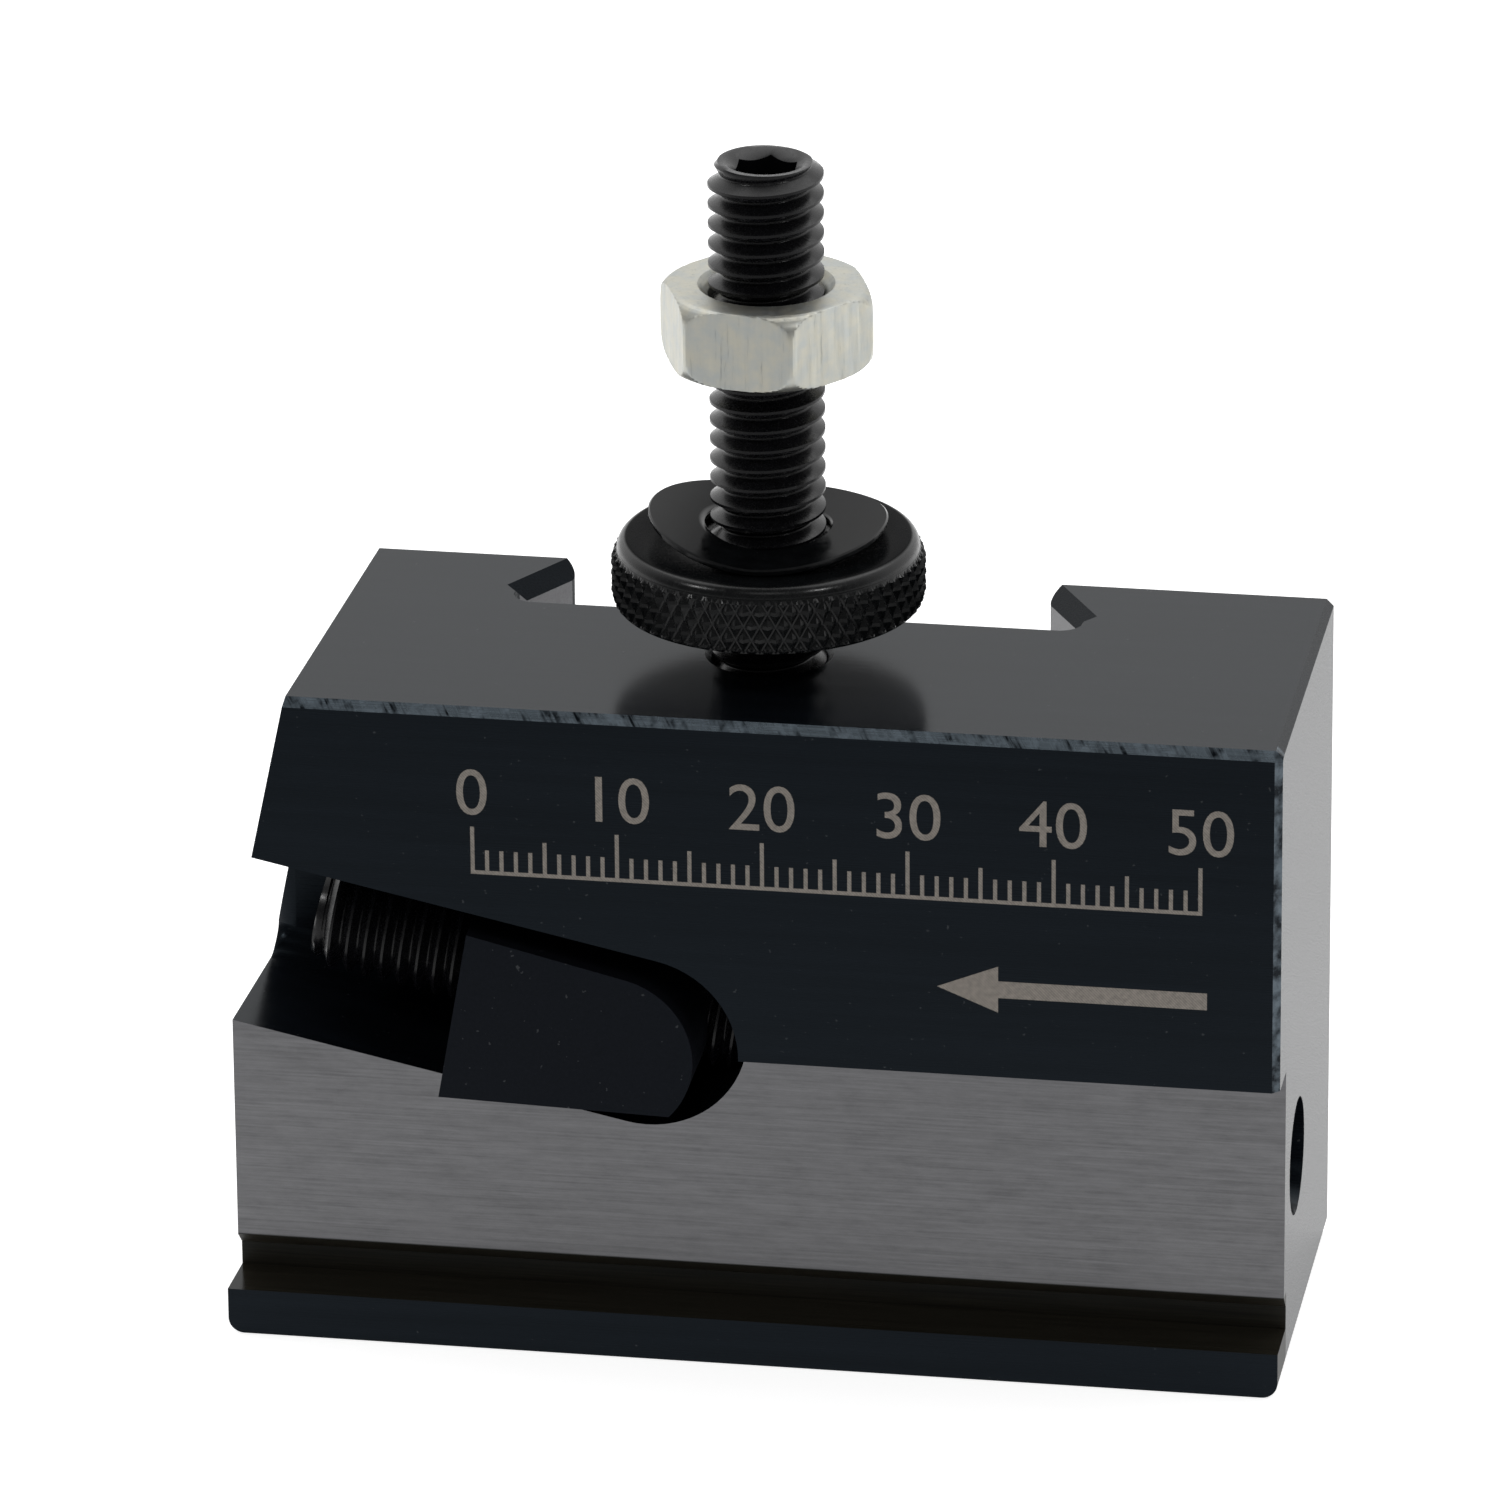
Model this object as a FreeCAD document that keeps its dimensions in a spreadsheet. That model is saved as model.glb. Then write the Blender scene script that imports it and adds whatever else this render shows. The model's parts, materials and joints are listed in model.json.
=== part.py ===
"""Parting-blade holder for a quick change tool post: a dovetailed steel block with an inclined wedge clamp,
a height-setting stud, a knurled height nut, a curved spring washer and a hex lock nut.

Frame: X to the right along the block, Y from the blade side to the dovetail side, +Z up.
The drawing datum is the left end, blade side, underside corner of the block. Every piece is placed from
that datum and then shifted, so that the origin is under the middle of the assembly on its resting face.
"""
import FreeCAD, Part
import Sketcher
import math
import os
from FreeCAD import Placement, Rotation, Vector

os.makedirs("parts", exist_ok=True)
doc = FreeCAD.newDocument("blade_holder")

# ---------------------------------------------------------------- driving dimensions, millimetres and degrees
DIMENSIONS = [
    ("body_length", 73.5), ("body_depth", 28.7), ("body_height", 48.0),
    ("lip_height", 3.3), ("lip_setback", 0.5), ("relief_depth", 4.8), ("relief_top", 6.0),
    ("blade_face_depth", 3.8), ("brow_height", 23.1),
    ("front_chamfer", 0.6), ("end_chamfer", 0.5), ("foot_round", 1.1),
    ("end_corner_height", 24.0), ("end_taper", 2.0),
    ("slot_angle", 12.0), ("slot_width", 14.1), ("slot_depth", 17.0), ("slot_fillet", 2.0),
    ("slot_centre_x", 29.2), ("slot_centre_z", 23.3), ("slot_run", 45.0),
    ("dovetail_centre_x", 37.0), ("dovetail_mouth", 32.3), ("dovetail_depth", 8.6),
    ("dovetail_angle", 60.0), ("dovetail_root_radius", 1.6), ("dovetail_lip_radius", 0.9),
    ("lead_in", 1.15), ("lead_in_corner", 3.0), ("lead_in_corner_run", 2.1),
    ("stud_x", 36.4), ("stud_y", 13.3), ("stud_diameter", 7.94), ("stud_top", 83.7), ("stud_seat", 34.0),
    ("stud_chamfer", 0.7), ("stud_hole_diameter", 8.0), ("stud_countersink", 8.9),
    ("stud_socket", 4.0), ("stud_socket_depth", 5.0),
    ("screw_y", 10.4), ("screw_diameter", 8.0), ("screw_left", 24.4), ("screw_right", 22.0),
    ("screw_chamfer", 0.9), ("screw_socket", 4.0), ("screw_socket_depth", 5.0),
    ("screw_hole_diameter", 8.1), ("neck_offset", 6.0), ("neck_diameter", 5.9), ("neck_width", 2.1),
    ("clamp_thickness", 16.4), ("clamp_top", 5.0), ("clamp_top_run", 13.3), ("clamp_foot", 7.38),
    ("clamp_foot_run", 12.5), ("clamp_foot_end", 3.2), ("clamp_nose_x", 1.95), ("clamp_nose_radius", 6.0),
    ("clamp_tilt", 1.7), ("clamp_chamfer", 1.8), ("clamp_bore", 8.16),
    ("pin_diameter", 2.0), ("pin_length", 12.0),
    ("thumb_diameter", 21.6), ("thumb_height", 4.7), ("thumb_base", 52.0), ("thumb_chamfer", 0.8),
    ("thumb_lower_chamfer", 0.4), ("nut_bore", 8.04), ("nut_countersink", 0.5),
    ("washer_diameter", 16.4), ("washer_hole", 8.6), ("washer_thickness", 0.5), ("washer_rise", 1.5),
    ("washer_gap", 0.02),
    ("lock_flats", 13.2), ("lock_thickness", 5.5), ("lock_base", 69.45), ("lock_turn", -68.1),
    ("lock_end_step", 0.25), ("overrun", 5.0),
]
sheet = doc.addObject("Spreadsheet::Sheet", "Sizes")
for row, (alias, value) in enumerate(DIMENSIONS, start=1):
    sheet.set(f"A{row}", alias)
    sheet.set(f"B{row}", str(value))
    sheet.setAlias(f"B{row}", alias)
doc.recompute()


def size(alias):
    """The number that the sheet holds under an alias."""
    return float(getattr(sheet, alias))


# The origin sits under the middle of the assembly's outline.
ORIGIN_SHIFT = Vector(-size("body_length") / 2, -size("body_depth") / 2, 0)
SLOPE = Rotation(Vector(0, 1, 0), size("slot_angle"))
SLOT_CENTRE = Vector(size("slot_centre_x"), size("screw_y"), size("slot_centre_z"))


# ---------------------------------------------------------------- helpers
def new_body(label):
    body = doc.addObject("PartDesign::Body", label)
    body.Label = label
    return body


def new_sketch(body, plane, name, offset=None):
    """A sketch on one of the body's own origin planes, moved in that plane's frame by offset."""
    sketch = body.newObject("Sketcher::SketchObject", name)
    origin_plane = next(f for f in body.Origin.OriginFeatures if f.Role == plane)
    sketch.AttachmentSupport = (origin_plane, "")
    sketch.MapMode = "FlatFace"
    if offset:
        sketch.AttachmentOffset = offset
    return sketch


def constrain(sketch, name, constraint, formula):
    """Add a named dimension to a sketch and drive it from the sheet."""
    index = sketch.addConstraint(constraint)
    sketch.renameConstraint(index, name)
    sketch.setExpression(f"Constraints.{name}", formula)


def value_of(formula):
    """A formula's number, for the sketch's first guess."""
    return float(sheet.evalExpression(formula.replace("Sizes.", "")))


def outline(sketch, corners):
    """A closed outline whose corners are (x formula, y formula) pairs."""
    points = [Vector(value_of(x), value_of(y), 0) for x, y in corners]
    count = len(points)
    for index in range(count):
        sketch.addGeometry(Part.LineSegment(points[index], points[(index + 1) % count]), False)
    for index in range(count):
        sketch.addConstraint(Sketcher.Constraint("Coincident", index, 2, (index + 1) % count, 1))
    for index, (x, y) in enumerate(corners):
        at_x = Sketcher.Constraint("DistanceX", -1, 1, index, 1, points[index].x)
        at_y = Sketcher.Constraint("DistanceY", -1, 1, index, 1, points[index].y)
        constrain(sketch, f"x{index}", at_x, x)
        constrain(sketch, f"y{index}", at_y, y)


def circle(sketch, diameter, x="0", y="0"):
    """A circle whose diameter and centre are formulas."""
    centre = Vector(value_of(x), value_of(y), 0)
    index = sketch.addGeometry(Part.Circle(centre, Vector(0, 0, 1), value_of(diameter) / 2), False)
    constrain(sketch, f"d{index}", Sketcher.Constraint("Diameter", index, value_of(diameter)), diameter)
    constrain(sketch, f"cx{index}", Sketcher.Constraint("DistanceX", -1, 1, index, 3, centre.x), x)
    constrain(sketch, f"cy{index}", Sketcher.Constraint("DistanceY", -1, 1, index, 3, centre.y), y)


def hexagon(sketch, flats):
    """A regular hexagon about the origin, two corners on the local X axis."""
    radius = f"({flats}) / 2 / cos(30 deg)"
    corners = [(f"{radius} * cos({60 * turn} deg)", f"{radius} * sin({60 * turn} deg)") for turn in range(6)]
    outline(sketch, corners)


def pad(body, sketch, name, length):
    feature = body.newObject("PartDesign::Pad", name)
    feature.Profile = sketch
    feature.setExpression("Length", length)
    return feature


def pocket(body, sketch, name, depth=None, reverse=False, both_ways=False):
    """A pocket of a given depth, or through everything when no depth is given."""
    feature = body.newObject("PartDesign::Pocket", name)
    feature.Profile = sketch
    feature.Reversed = reverse
    feature.Midplane = both_ways
    if depth:
        feature.setExpression("Length", depth)
    else:
        feature.Type = 1
    return feature


def revolve(body, sketch, name, axis="V_Axis"):
    feature = body.newObject("PartDesign::Revolution", name)
    feature.Profile = sketch
    feature.ReferenceAxis = (sketch, [axis])
    feature.Angle = 360
    return feature


def edge_names(shape, wanted):
    """The names of the edges of a shape for which wanted(edge) is true."""
    return [f"Edge{index}" for index, edge in enumerate(shape.Edges, start=1) if wanted(edge)]


def dress(body, kind, name, wanted, dimension):
    """A Fillet or a Chamfer on the tip's edges that the test picks."""
    doc.recompute()
    base = body.Tip
    names = edge_names(base.Shape, wanted)
    if not names:
        raise RuntimeError(f"{name}: no edge found")
    feature = body.newObject(f"PartDesign::{kind}", name)
    feature.Base = (base, names)
    feature.setExpression("Radius" if kind == "Fillet" else "Size", dimension)
    body.Tip = feature
    return feature


def is_curve(edge, kind):
    """True for an edge on a curve of one kind; some blend edges have a curve that can't be read."""
    try:
        return isinstance(edge.Curve, kind)
    except TypeError:
        return False


def along(edge, direction, tolerance=1e-3):
    """True for a straight edge that runs along a direction."""
    if not is_curve(edge, Part.Line):
        return False
    run = (edge.Vertexes[-1].Point - edge.Vertexes[0].Point).normalize()
    return abs(abs(run.dot(direction)) - 1) < tolerance


def spans(edge, axis, level, tolerance=0.02):
    """True for an edge that lies wholly at one level of an axis (0, 1 or 2)."""
    return all(abs(vertex.Point[axis] - level) < tolerance for vertex in edge.Vertexes)


# ---------------------------------------------------------------- holder_body
def make_holder_body():
    """The block: a profile padded along X, then dovetail, clamp slot, left end and the two threaded holes."""
    body = new_body("holder_body")
    profile = new_sketch(body, "YZ_Plane", "holder_profile")
    outline(profile, [
        ("Sizes.lip_setback", "0"),
        ("Sizes.body_depth", "0"),
        ("Sizes.body_depth", "Sizes.body_height"),
        ("Sizes.front_chamfer", "Sizes.body_height"),
        ("0", "Sizes.body_height - Sizes.front_chamfer"),
        ("0", "Sizes.brow_height"),
        ("Sizes.blade_face_depth", "Sizes.brow_height"),
        ("Sizes.blade_face_depth", "Sizes.relief_top"),
        ("Sizes.relief_depth", "Sizes.relief_top - (Sizes.relief_depth - Sizes.blade_face_depth)"),
        ("Sizes.relief_depth", "Sizes.lip_height"),
        ("Sizes.lip_setback", "Sizes.lip_height"),
    ])
    pad(body, profile, "block", "Sizes.body_length")

    dovetail = new_sketch(body, "XY_Plane", "dovetail_profile")
    half_mouth = "Sizes.dovetail_mouth / 2"
    undercut = "Sizes.dovetail_depth / tan(Sizes.dovetail_angle * 1 deg)"
    outline(dovetail, [
        (f"Sizes.dovetail_centre_x - {half_mouth}", "Sizes.body_depth"),
        (f"Sizes.dovetail_centre_x - {half_mouth} - {undercut}", "Sizes.body_depth - Sizes.dovetail_depth"),
        (f"Sizes.dovetail_centre_x + {half_mouth} + {undercut}", "Sizes.body_depth - Sizes.dovetail_depth"),
        (f"Sizes.dovetail_centre_x + {half_mouth}", "Sizes.body_depth"),
        (f"Sizes.dovetail_centre_x + {half_mouth}", "Sizes.body_depth + Sizes.overrun"),
        (f"Sizes.dovetail_centre_x - {half_mouth}", "Sizes.body_depth + Sizes.overrun"),
    ])
    pocket(body, dovetail, "dovetail", reverse=True)
    root_y = size("body_depth") - size("dovetail_depth")
    upright = Vector(0, 0, 1)
    dress(body, "Fillet", "dovetail_roots",
          lambda e: along(e, upright) and spans(e, 1, root_y), "Sizes.dovetail_root_radius")
    mouth = [size("dovetail_centre_x") + side * size("dovetail_mouth") / 2 for side in (-1, 1)]
    dress(body, "Fillet", "dovetail_mouth_edges",
          lambda e: along(e, upright) and spans(e, 1, size("body_depth"))
          and any(spans(e, 0, x) for x in mouth), "Sizes.dovetail_lip_radius")

    # The flanks' upper ends lead in at 45 degrees. The pocket narrows as it goes down, so its floor side cuts
    # nothing, and its cut-off corners keep to the rounded roots.
    lead_in = new_sketch(body, "XY_Plane", "lead_in_profile",
                         Placement(Vector(0, 0, size("body_height")), Rotation()))
    flank_run = "tan(Sizes.dovetail_angle * 1 deg)"
    widened = f"({half_mouth} + Sizes.lead_in / sin(Sizes.dovetail_angle * 1 deg))"
    outer = f"({widened} - Sizes.overrun / {flank_run})"
    corner = f"({widened} + (Sizes.dovetail_depth - Sizes.lead_in_corner) / {flank_run})"
    root_level = "Sizes.body_depth - Sizes.dovetail_depth"
    outline(lead_in, [
        (f"Sizes.dovetail_centre_x - {outer}", "Sizes.body_depth + Sizes.overrun"),
        (f"Sizes.dovetail_centre_x - {corner}", f"{root_level} + Sizes.lead_in_corner"),
        (f"Sizes.dovetail_centre_x - {corner} + Sizes.lead_in_corner_run", root_level),
        (f"Sizes.dovetail_centre_x + {corner} - Sizes.lead_in_corner_run", root_level),
        (f"Sizes.dovetail_centre_x + {corner}", f"{root_level} + Sizes.lead_in_corner"),
        (f"Sizes.dovetail_centre_x + {outer}", "Sizes.body_depth + Sizes.overrun"),
    ])
    pocket(body, lead_in, "lead_in", "Sizes.lead_in").TaperAngle = -45

    # The clamp slot: parallel walls along the slope with a full round right end.
    slot_frame = Placement(Vector(size("slot_centre_x"), size("slot_centre_z"), 0),
                           Rotation(Vector(0, 0, 1), -size("slot_angle")))
    slot = new_sketch(body, "XZ_Plane", "clamp_slot_profile", slot_frame)
    radius = size("slot_width") / 2
    run = size("slot_run")
    slot.addGeometry([
        Part.LineSegment(Vector(-run, radius, 0), Vector(0, radius, 0)),
        Part.ArcOfCircle(Part.Circle(Vector(), Vector(0, 0, 1), radius), -math.pi / 2, math.pi / 2),
        Part.LineSegment(Vector(0, -radius, 0), Vector(-run, -radius, 0)),
        Part.LineSegment(Vector(-run, -radius, 0), Vector(-run, radius, 0)),
    ], False)
    slot.addConstraint([
        Sketcher.Constraint("Tangent", 0, 2, 1, 2), Sketcher.Constraint("Tangent", 1, 1, 2, 1),
        Sketcher.Constraint("Coincident", 2, 2, 3, 1), Sketcher.Constraint("Coincident", 3, 2, 0, 1),
        Sketcher.Constraint("Horizontal", 0), Sketcher.Constraint("Vertical", 3),
        Sketcher.Constraint("Coincident", 1, 3, -1, 1),
    ])
    constrain(slot, "radius", Sketcher.Constraint("Radius", 1, radius), "Sizes.slot_width / 2")
    constrain(slot, "run", Sketcher.Constraint("DistanceX", 3, 1, -1, 1, run), "Sizes.slot_run")
    pocket(body, slot, "clamp_slot", "Sizes.slot_depth")
    doc.recompute()
    floor = size("slot_depth")
    dress(body, "Fillet", "clamp_slot_floor", lambda e: spans(e, 1, floor)
          and all(slot_distance(v.Point) < size("slot_width") / 2 + 0.05 for v in e.Vertexes)
          and not along(e, SLOPE.multVec(Vector(0, 0, 1)), 0.02), "Sizes.slot_fillet")

    # The left end is vertical up to a corner and leans back above it, square to the clamp slot. Seen from
    # above it also slants a little, so that the block is shorter at the dovetail side.
    end_cut = new_sketch(body, "XZ_Plane", "left_end_profile",
                         Placement(Vector(), Rotation(Vector(0, 1, 0), -size("end_taper"))))
    above = "Sizes.body_height + Sizes.overrun"
    lean = f"({above} - Sizes.end_corner_height) * tan(Sizes.slot_angle * 1 deg)"
    outline(end_cut, [
        ("0", "-Sizes.overrun"),
        ("0", "Sizes.end_corner_height"),
        (lean, above),
        ("-Sizes.overrun", above),
        ("-Sizes.overrun", "-Sizes.overrun"),
    ])
    pocket(body, end_cut, "left_end", both_ways=True)

    stud_hole = new_sketch(body, "XY_Plane", "stud_hole_profile",
                           Placement(Vector(0, 0, size("body_height")), Rotation()))
    circle(stud_hole, "Sizes.stud_hole_diameter", "Sizes.stud_x", "Sizes.stud_y")
    pocket(body, stud_hole, "stud_hole", "Sizes.body_height - Sizes.stud_seat")
    dress(body, "Chamfer", "stud_countersink",
          lambda e: is_curve(e, Part.Circle) and spans(e, 2, size("body_height"))
          and abs(e.Curve.Radius - size("stud_hole_diameter") / 2) < 0.01,
          "(Sizes.stud_countersink - Sizes.stud_hole_diameter) / 2")

    axis_frame = Placement(Vector(size("screw_y"), size("slot_centre_z"), size("slot_centre_x")),
                           Rotation(Vector(1, 0, 0), size("slot_angle")))
    screw_hole = new_sketch(body, "YZ_Plane", "screw_hole_profile", axis_frame)
    circle(screw_hole, "Sizes.screw_hole_diameter")
    pocket(body, screw_hole, "screw_hole", reverse=True)

    right = size("body_length")
    front_edges = size("front_chamfer") + 0.02
    dress(body, "Chamfer", "right_end_edges",
          lambda e: spans(e, 0, right) and e.BoundBox.ZMax > size("brow_height") + 1
          and (spans(e, 2, size("body_height")) or e.BoundBox.YMax < front_edges), "Sizes.end_chamfer")
    dress(body, "Fillet", "foot_rounds",
          lambda e: spans(e, 2, 0) and (spans(e, 0, right) or e.BoundBox.XMax < 1.5)
          and e.BoundBox.YLength > 20, "Sizes.foot_round")
    return body


def slot_distance(point):
    """How far a point is from the clamp slot's centre line, past whose right end it is a radius."""
    local = SLOPE.inverted().multVec(point - SLOT_CENTRE)
    return math.hypot(max(local.x, 0), local.z)


# ---------------------------------------------------------------- the wedge clamp and its screw
def make_blade_clamp():
    """The wedge: sloping top, level underside and a round nose, hanging at a slight tilt in its slot.

    The body's own X runs along the clamp screw, its Z square to it and its Y back into the slot, with the
    origin on the front face at the middle of the slot's round end.
    """
    body = new_body("blade_clamp")
    profile = new_sketch(body, "XZ_Plane", "clamp_profile",
                         Placement(Vector(), Rotation(Vector(0, 0, 1), -size("clamp_tilt"))))
    radius = size("clamp_nose_radius")
    top = size("clamp_top")
    middle = Vector(-size("clamp_nose_x"), top - radius, 0)
    top_left = Vector(-size("clamp_top_run"), top, 0)
    foot_left = Vector(-size("clamp_foot_run"), -size("clamp_foot"), 0)
    rise = math.radians(size("slot_angle"))
    foot_end = size("clamp_foot_end")
    foot_right = Vector(foot_end, foot_left.y + (foot_end - foot_left.x) * math.tan(rise), 0)
    low = math.atan2(foot_right.y - middle.y, foot_right.x - middle.x)
    profile.addGeometry([
        Part.LineSegment(top_left, Vector(middle.x, top, 0)),
        Part.ArcOfCircle(Part.Circle(middle, Vector(0, 0, 1), radius), low, math.pi / 2),
        Part.LineSegment(foot_right, foot_left),
        Part.LineSegment(foot_left, top_left),
    ], False)
    profile.addConstraint([
        Sketcher.Constraint("Tangent", 0, 2, 1, 2), Sketcher.Constraint("Coincident", 1, 1, 2, 1),
        Sketcher.Constraint("Coincident", 2, 2, 3, 1), Sketcher.Constraint("Coincident", 3, 2, 0, 1),
        Sketcher.Constraint("Horizontal", 0),
    ])
    constrain(profile, "nose", Sketcher.Constraint("Radius", 1, radius), "Sizes.clamp_nose_radius")
    constrain(profile, "nose_x", Sketcher.Constraint("DistanceX", 1, 3, -1, 1, -middle.x),
              "Sizes.clamp_nose_x")
    constrain(profile, "top", Sketcher.Constraint("DistanceY", -1, 1, 0, 1, top), "Sizes.clamp_top")
    constrain(profile, "top_run", Sketcher.Constraint("DistanceX", 0, 1, -1, 1, -top_left.x),
              "Sizes.clamp_top_run")
    constrain(profile, "foot", Sketcher.Constraint("DistanceY", 3, 1, -1, 1, -foot_left.y),
              "Sizes.clamp_foot")
    constrain(profile, "foot_run", Sketcher.Constraint("DistanceX", 3, 1, -1, 1, -foot_left.x),
              "Sizes.clamp_foot_run")
    constrain(profile, "foot_rise", Sketcher.Constraint("Angle", 2, math.pi + rise),
              "180 + Sizes.slot_angle")
    pad(body, profile, "wedge", "Sizes.clamp_thickness").Reversed = True
    back = size("clamp_thickness")
    dress(body, "Chamfer", "clamp_back_edges", lambda e: spans(e, 1, back), "Sizes.clamp_chamfer")

    bore = new_sketch(body, "YZ_Plane", "clamp_bore_profile")
    circle(bore, "Sizes.clamp_bore", "Sizes.screw_y", "0")
    pocket(body, bore, "clamp_bore_hole", both_ways=True)

    pin_hole = new_sketch(body, "XZ_Plane", "pin_hole_profile",
                          Placement(Vector(0, 0, -size("clamp_thickness")), Rotation()))
    circle(pin_hole, "Sizes.pin_diameter", "-Sizes.neck_offset", "-Sizes.screw_diameter / 2")
    pocket(body, pin_hole, "pin_hole", "Sizes.pin_length", reverse=True)
    body.Placement = Placement(Vector(SLOT_CENTRE.x, 0, SLOT_CENTRE.z) + ORIGIN_SHIFT, SLOPE)
    return body


def make_clamp_pin():
    """A plain dowel pressed in from the wedge's back face, lying across the neck of the clamp screw."""
    pin = doc.addObject("Part::Cylinder", "clamp_pin")
    pin.Label = "clamp_pin"
    pin.setExpression("Radius", "Sizes.pin_diameter / 2")
    pin.setExpression("Height", "Sizes.pin_length")
    foot = Vector(-size("neck_offset"), size("clamp_thickness"), -size("screw_diameter") / 2)
    toward_front = Rotation(Vector(1, 0, 0), 90)
    in_slot = Placement(foot, toward_front)
    slot_frame = Placement(Vector(SLOT_CENTRE.x, 0, SLOT_CENTRE.z) + ORIGIN_SHIFT, SLOPE)
    pin.Placement = slot_frame.multiply(in_slot)
    return pin


def make_clamp_screw():
    """The screw, turned about its own Z, which then lies along the slope with the socket end to the left."""
    body = new_body("clamp_screw")
    profile = new_sketch(body, "XZ_Plane", "screw_profile")
    radius = "Sizes.screw_diameter / 2"
    neck = "Sizes.neck_diameter / 2"
    outline(profile, [
        ("0", "-Sizes.screw_left"),
        (f"{radius} - Sizes.screw_chamfer", "-Sizes.screw_left"),
        (radius, "-Sizes.screw_left + Sizes.screw_chamfer"),
        (radius, "-Sizes.neck_offset - Sizes.neck_width / 2"),
        (neck, "-Sizes.neck_offset - Sizes.neck_width / 2"),
        (neck, "-Sizes.neck_offset + Sizes.neck_width / 2"),
        (radius, "-Sizes.neck_offset + Sizes.neck_width / 2"),
        (radius, "Sizes.screw_right - Sizes.screw_chamfer"),
        (f"{radius} - Sizes.screw_chamfer", "Sizes.screw_right"),
        ("0", "Sizes.screw_right"),
    ])
    revolve(body, profile, "turned_screw")
    socket = new_sketch(body, "XY_Plane", "screw_socket_profile",
                        Placement(Vector(0, 0, -size("screw_left")), Rotation()))
    hexagon(socket, "Sizes.screw_socket")
    pocket(body, socket, "screw_socket_hole", "Sizes.screw_socket_depth", reverse=True)
    lie_along_x = Rotation(Vector(0, 1, 0), 90)
    body.Placement = Placement(SLOT_CENTRE + ORIGIN_SHIFT, SLOPE.multiply(lie_along_x))
    return body


# ---------------------------------------------------------------- the height stud and what it carries
def stud_place(level):
    """A placement on the stud's axis at a height above the resting face."""
    return Placement(Vector(size("stud_x"), size("stud_y"), level) + ORIGIN_SHIFT, Rotation())


def make_height_stud():
    """A long socket-headless set screw, standing on the floor of its tapped hole."""
    body = new_body("height_stud")
    profile = new_sketch(body, "XZ_Plane", "stud_profile")
    radius = "Sizes.stud_diameter / 2"
    length = "(Sizes.stud_top - Sizes.stud_seat)"
    outline(profile, [
        ("0", "0"),
        (f"{radius} - Sizes.stud_chamfer", "0"),
        (radius, "Sizes.stud_chamfer"),
        (radius, f"{length} - Sizes.stud_chamfer"),
        (f"{radius} - Sizes.stud_chamfer", length),
        ("0", length),
    ])
    revolve(body, profile, "turned_stud")
    top = size("stud_top") - size("stud_seat")
    socket = new_sketch(body, "XY_Plane", "stud_socket_profile", Placement(Vector(0, 0, top), Rotation()))
    hexagon(socket, "Sizes.stud_socket")
    pocket(body, socket, "stud_socket_hole", "Sizes.stud_socket_depth")
    body.Placement = stud_place(size("stud_seat"))
    return body


def make_thumb_nut():
    """The knurled height nut, at the crest diameter of its knurl."""
    body = new_body("thumb_nut")
    profile = new_sketch(body, "XZ_Plane", "thumb_profile")
    outer = "Sizes.thumb_diameter / 2"
    bore = "Sizes.nut_bore / 2"
    outline(profile, [
        (f"{bore} + Sizes.nut_countersink", "0"),
        (f"{outer} - Sizes.thumb_lower_chamfer", "0"),
        (outer, "Sizes.thumb_lower_chamfer"),
        (outer, "Sizes.thumb_height - Sizes.thumb_chamfer"),
        (f"{outer} - Sizes.thumb_chamfer", "Sizes.thumb_height"),
        (f"{bore} + Sizes.nut_countersink", "Sizes.thumb_height"),
        (bore, "Sizes.thumb_height - Sizes.nut_countersink"),
        (bore, "Sizes.nut_countersink"),
    ])
    revolve(body, profile, "turned_thumb_nut")
    body.Placement = stud_place(size("thumb_base"))
    return body


def make_spring_washer():
    """A ring cut from a sheet bent about Y, so that its left and right sides stand up."""
    reach = "(Sizes.washer_diameter / 2)"
    bend = f"(({reach} ^ 2 + Sizes.washer_rise ^ 2) / (2 * Sizes.washer_rise))"
    blank_height = "(Sizes.washer_rise + 2 * Sizes.washer_thickness)"

    def cylinder(name, radius, height, placement):
        solid = doc.addObject("Part::Cylinder", name)
        solid.Placement = placement
        solid.setExpression("Radius", radius)
        solid.setExpression("Height", height)
        return solid

    across = Placement(Vector(0, value_of(reach), value_of(bend)), Rotation(Vector(1, 0, 0), 90))
    outside = cylinder("bend_outside", bend, "Sizes.washer_diameter", across)
    inside = cylinder("bend_inside", f"{bend} - Sizes.washer_thickness", "Sizes.washer_diameter", across)
    bent_sheet = doc.addObject("Part::Cut", "bent_sheet")
    bent_sheet.Base, bent_sheet.Tool = outside, inside
    disc = cylinder("washer_disc", reach, blank_height, Placement())
    hole = cylinder("washer_hole_tool", "Sizes.washer_hole / 2", blank_height, Placement())
    ring = doc.addObject("Part::Cut", "washer_ring")
    ring.Base, ring.Tool = disc, hole
    washer = doc.addObject("Part::Common", "spring_washer")
    washer.Base, washer.Tool = ring, bent_sheet
    washer.Label = "spring_washer"
    washer.Placement = stud_place(size("thumb_base") + size("thumb_height") + size("washer_gap"))
    return washer


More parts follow.
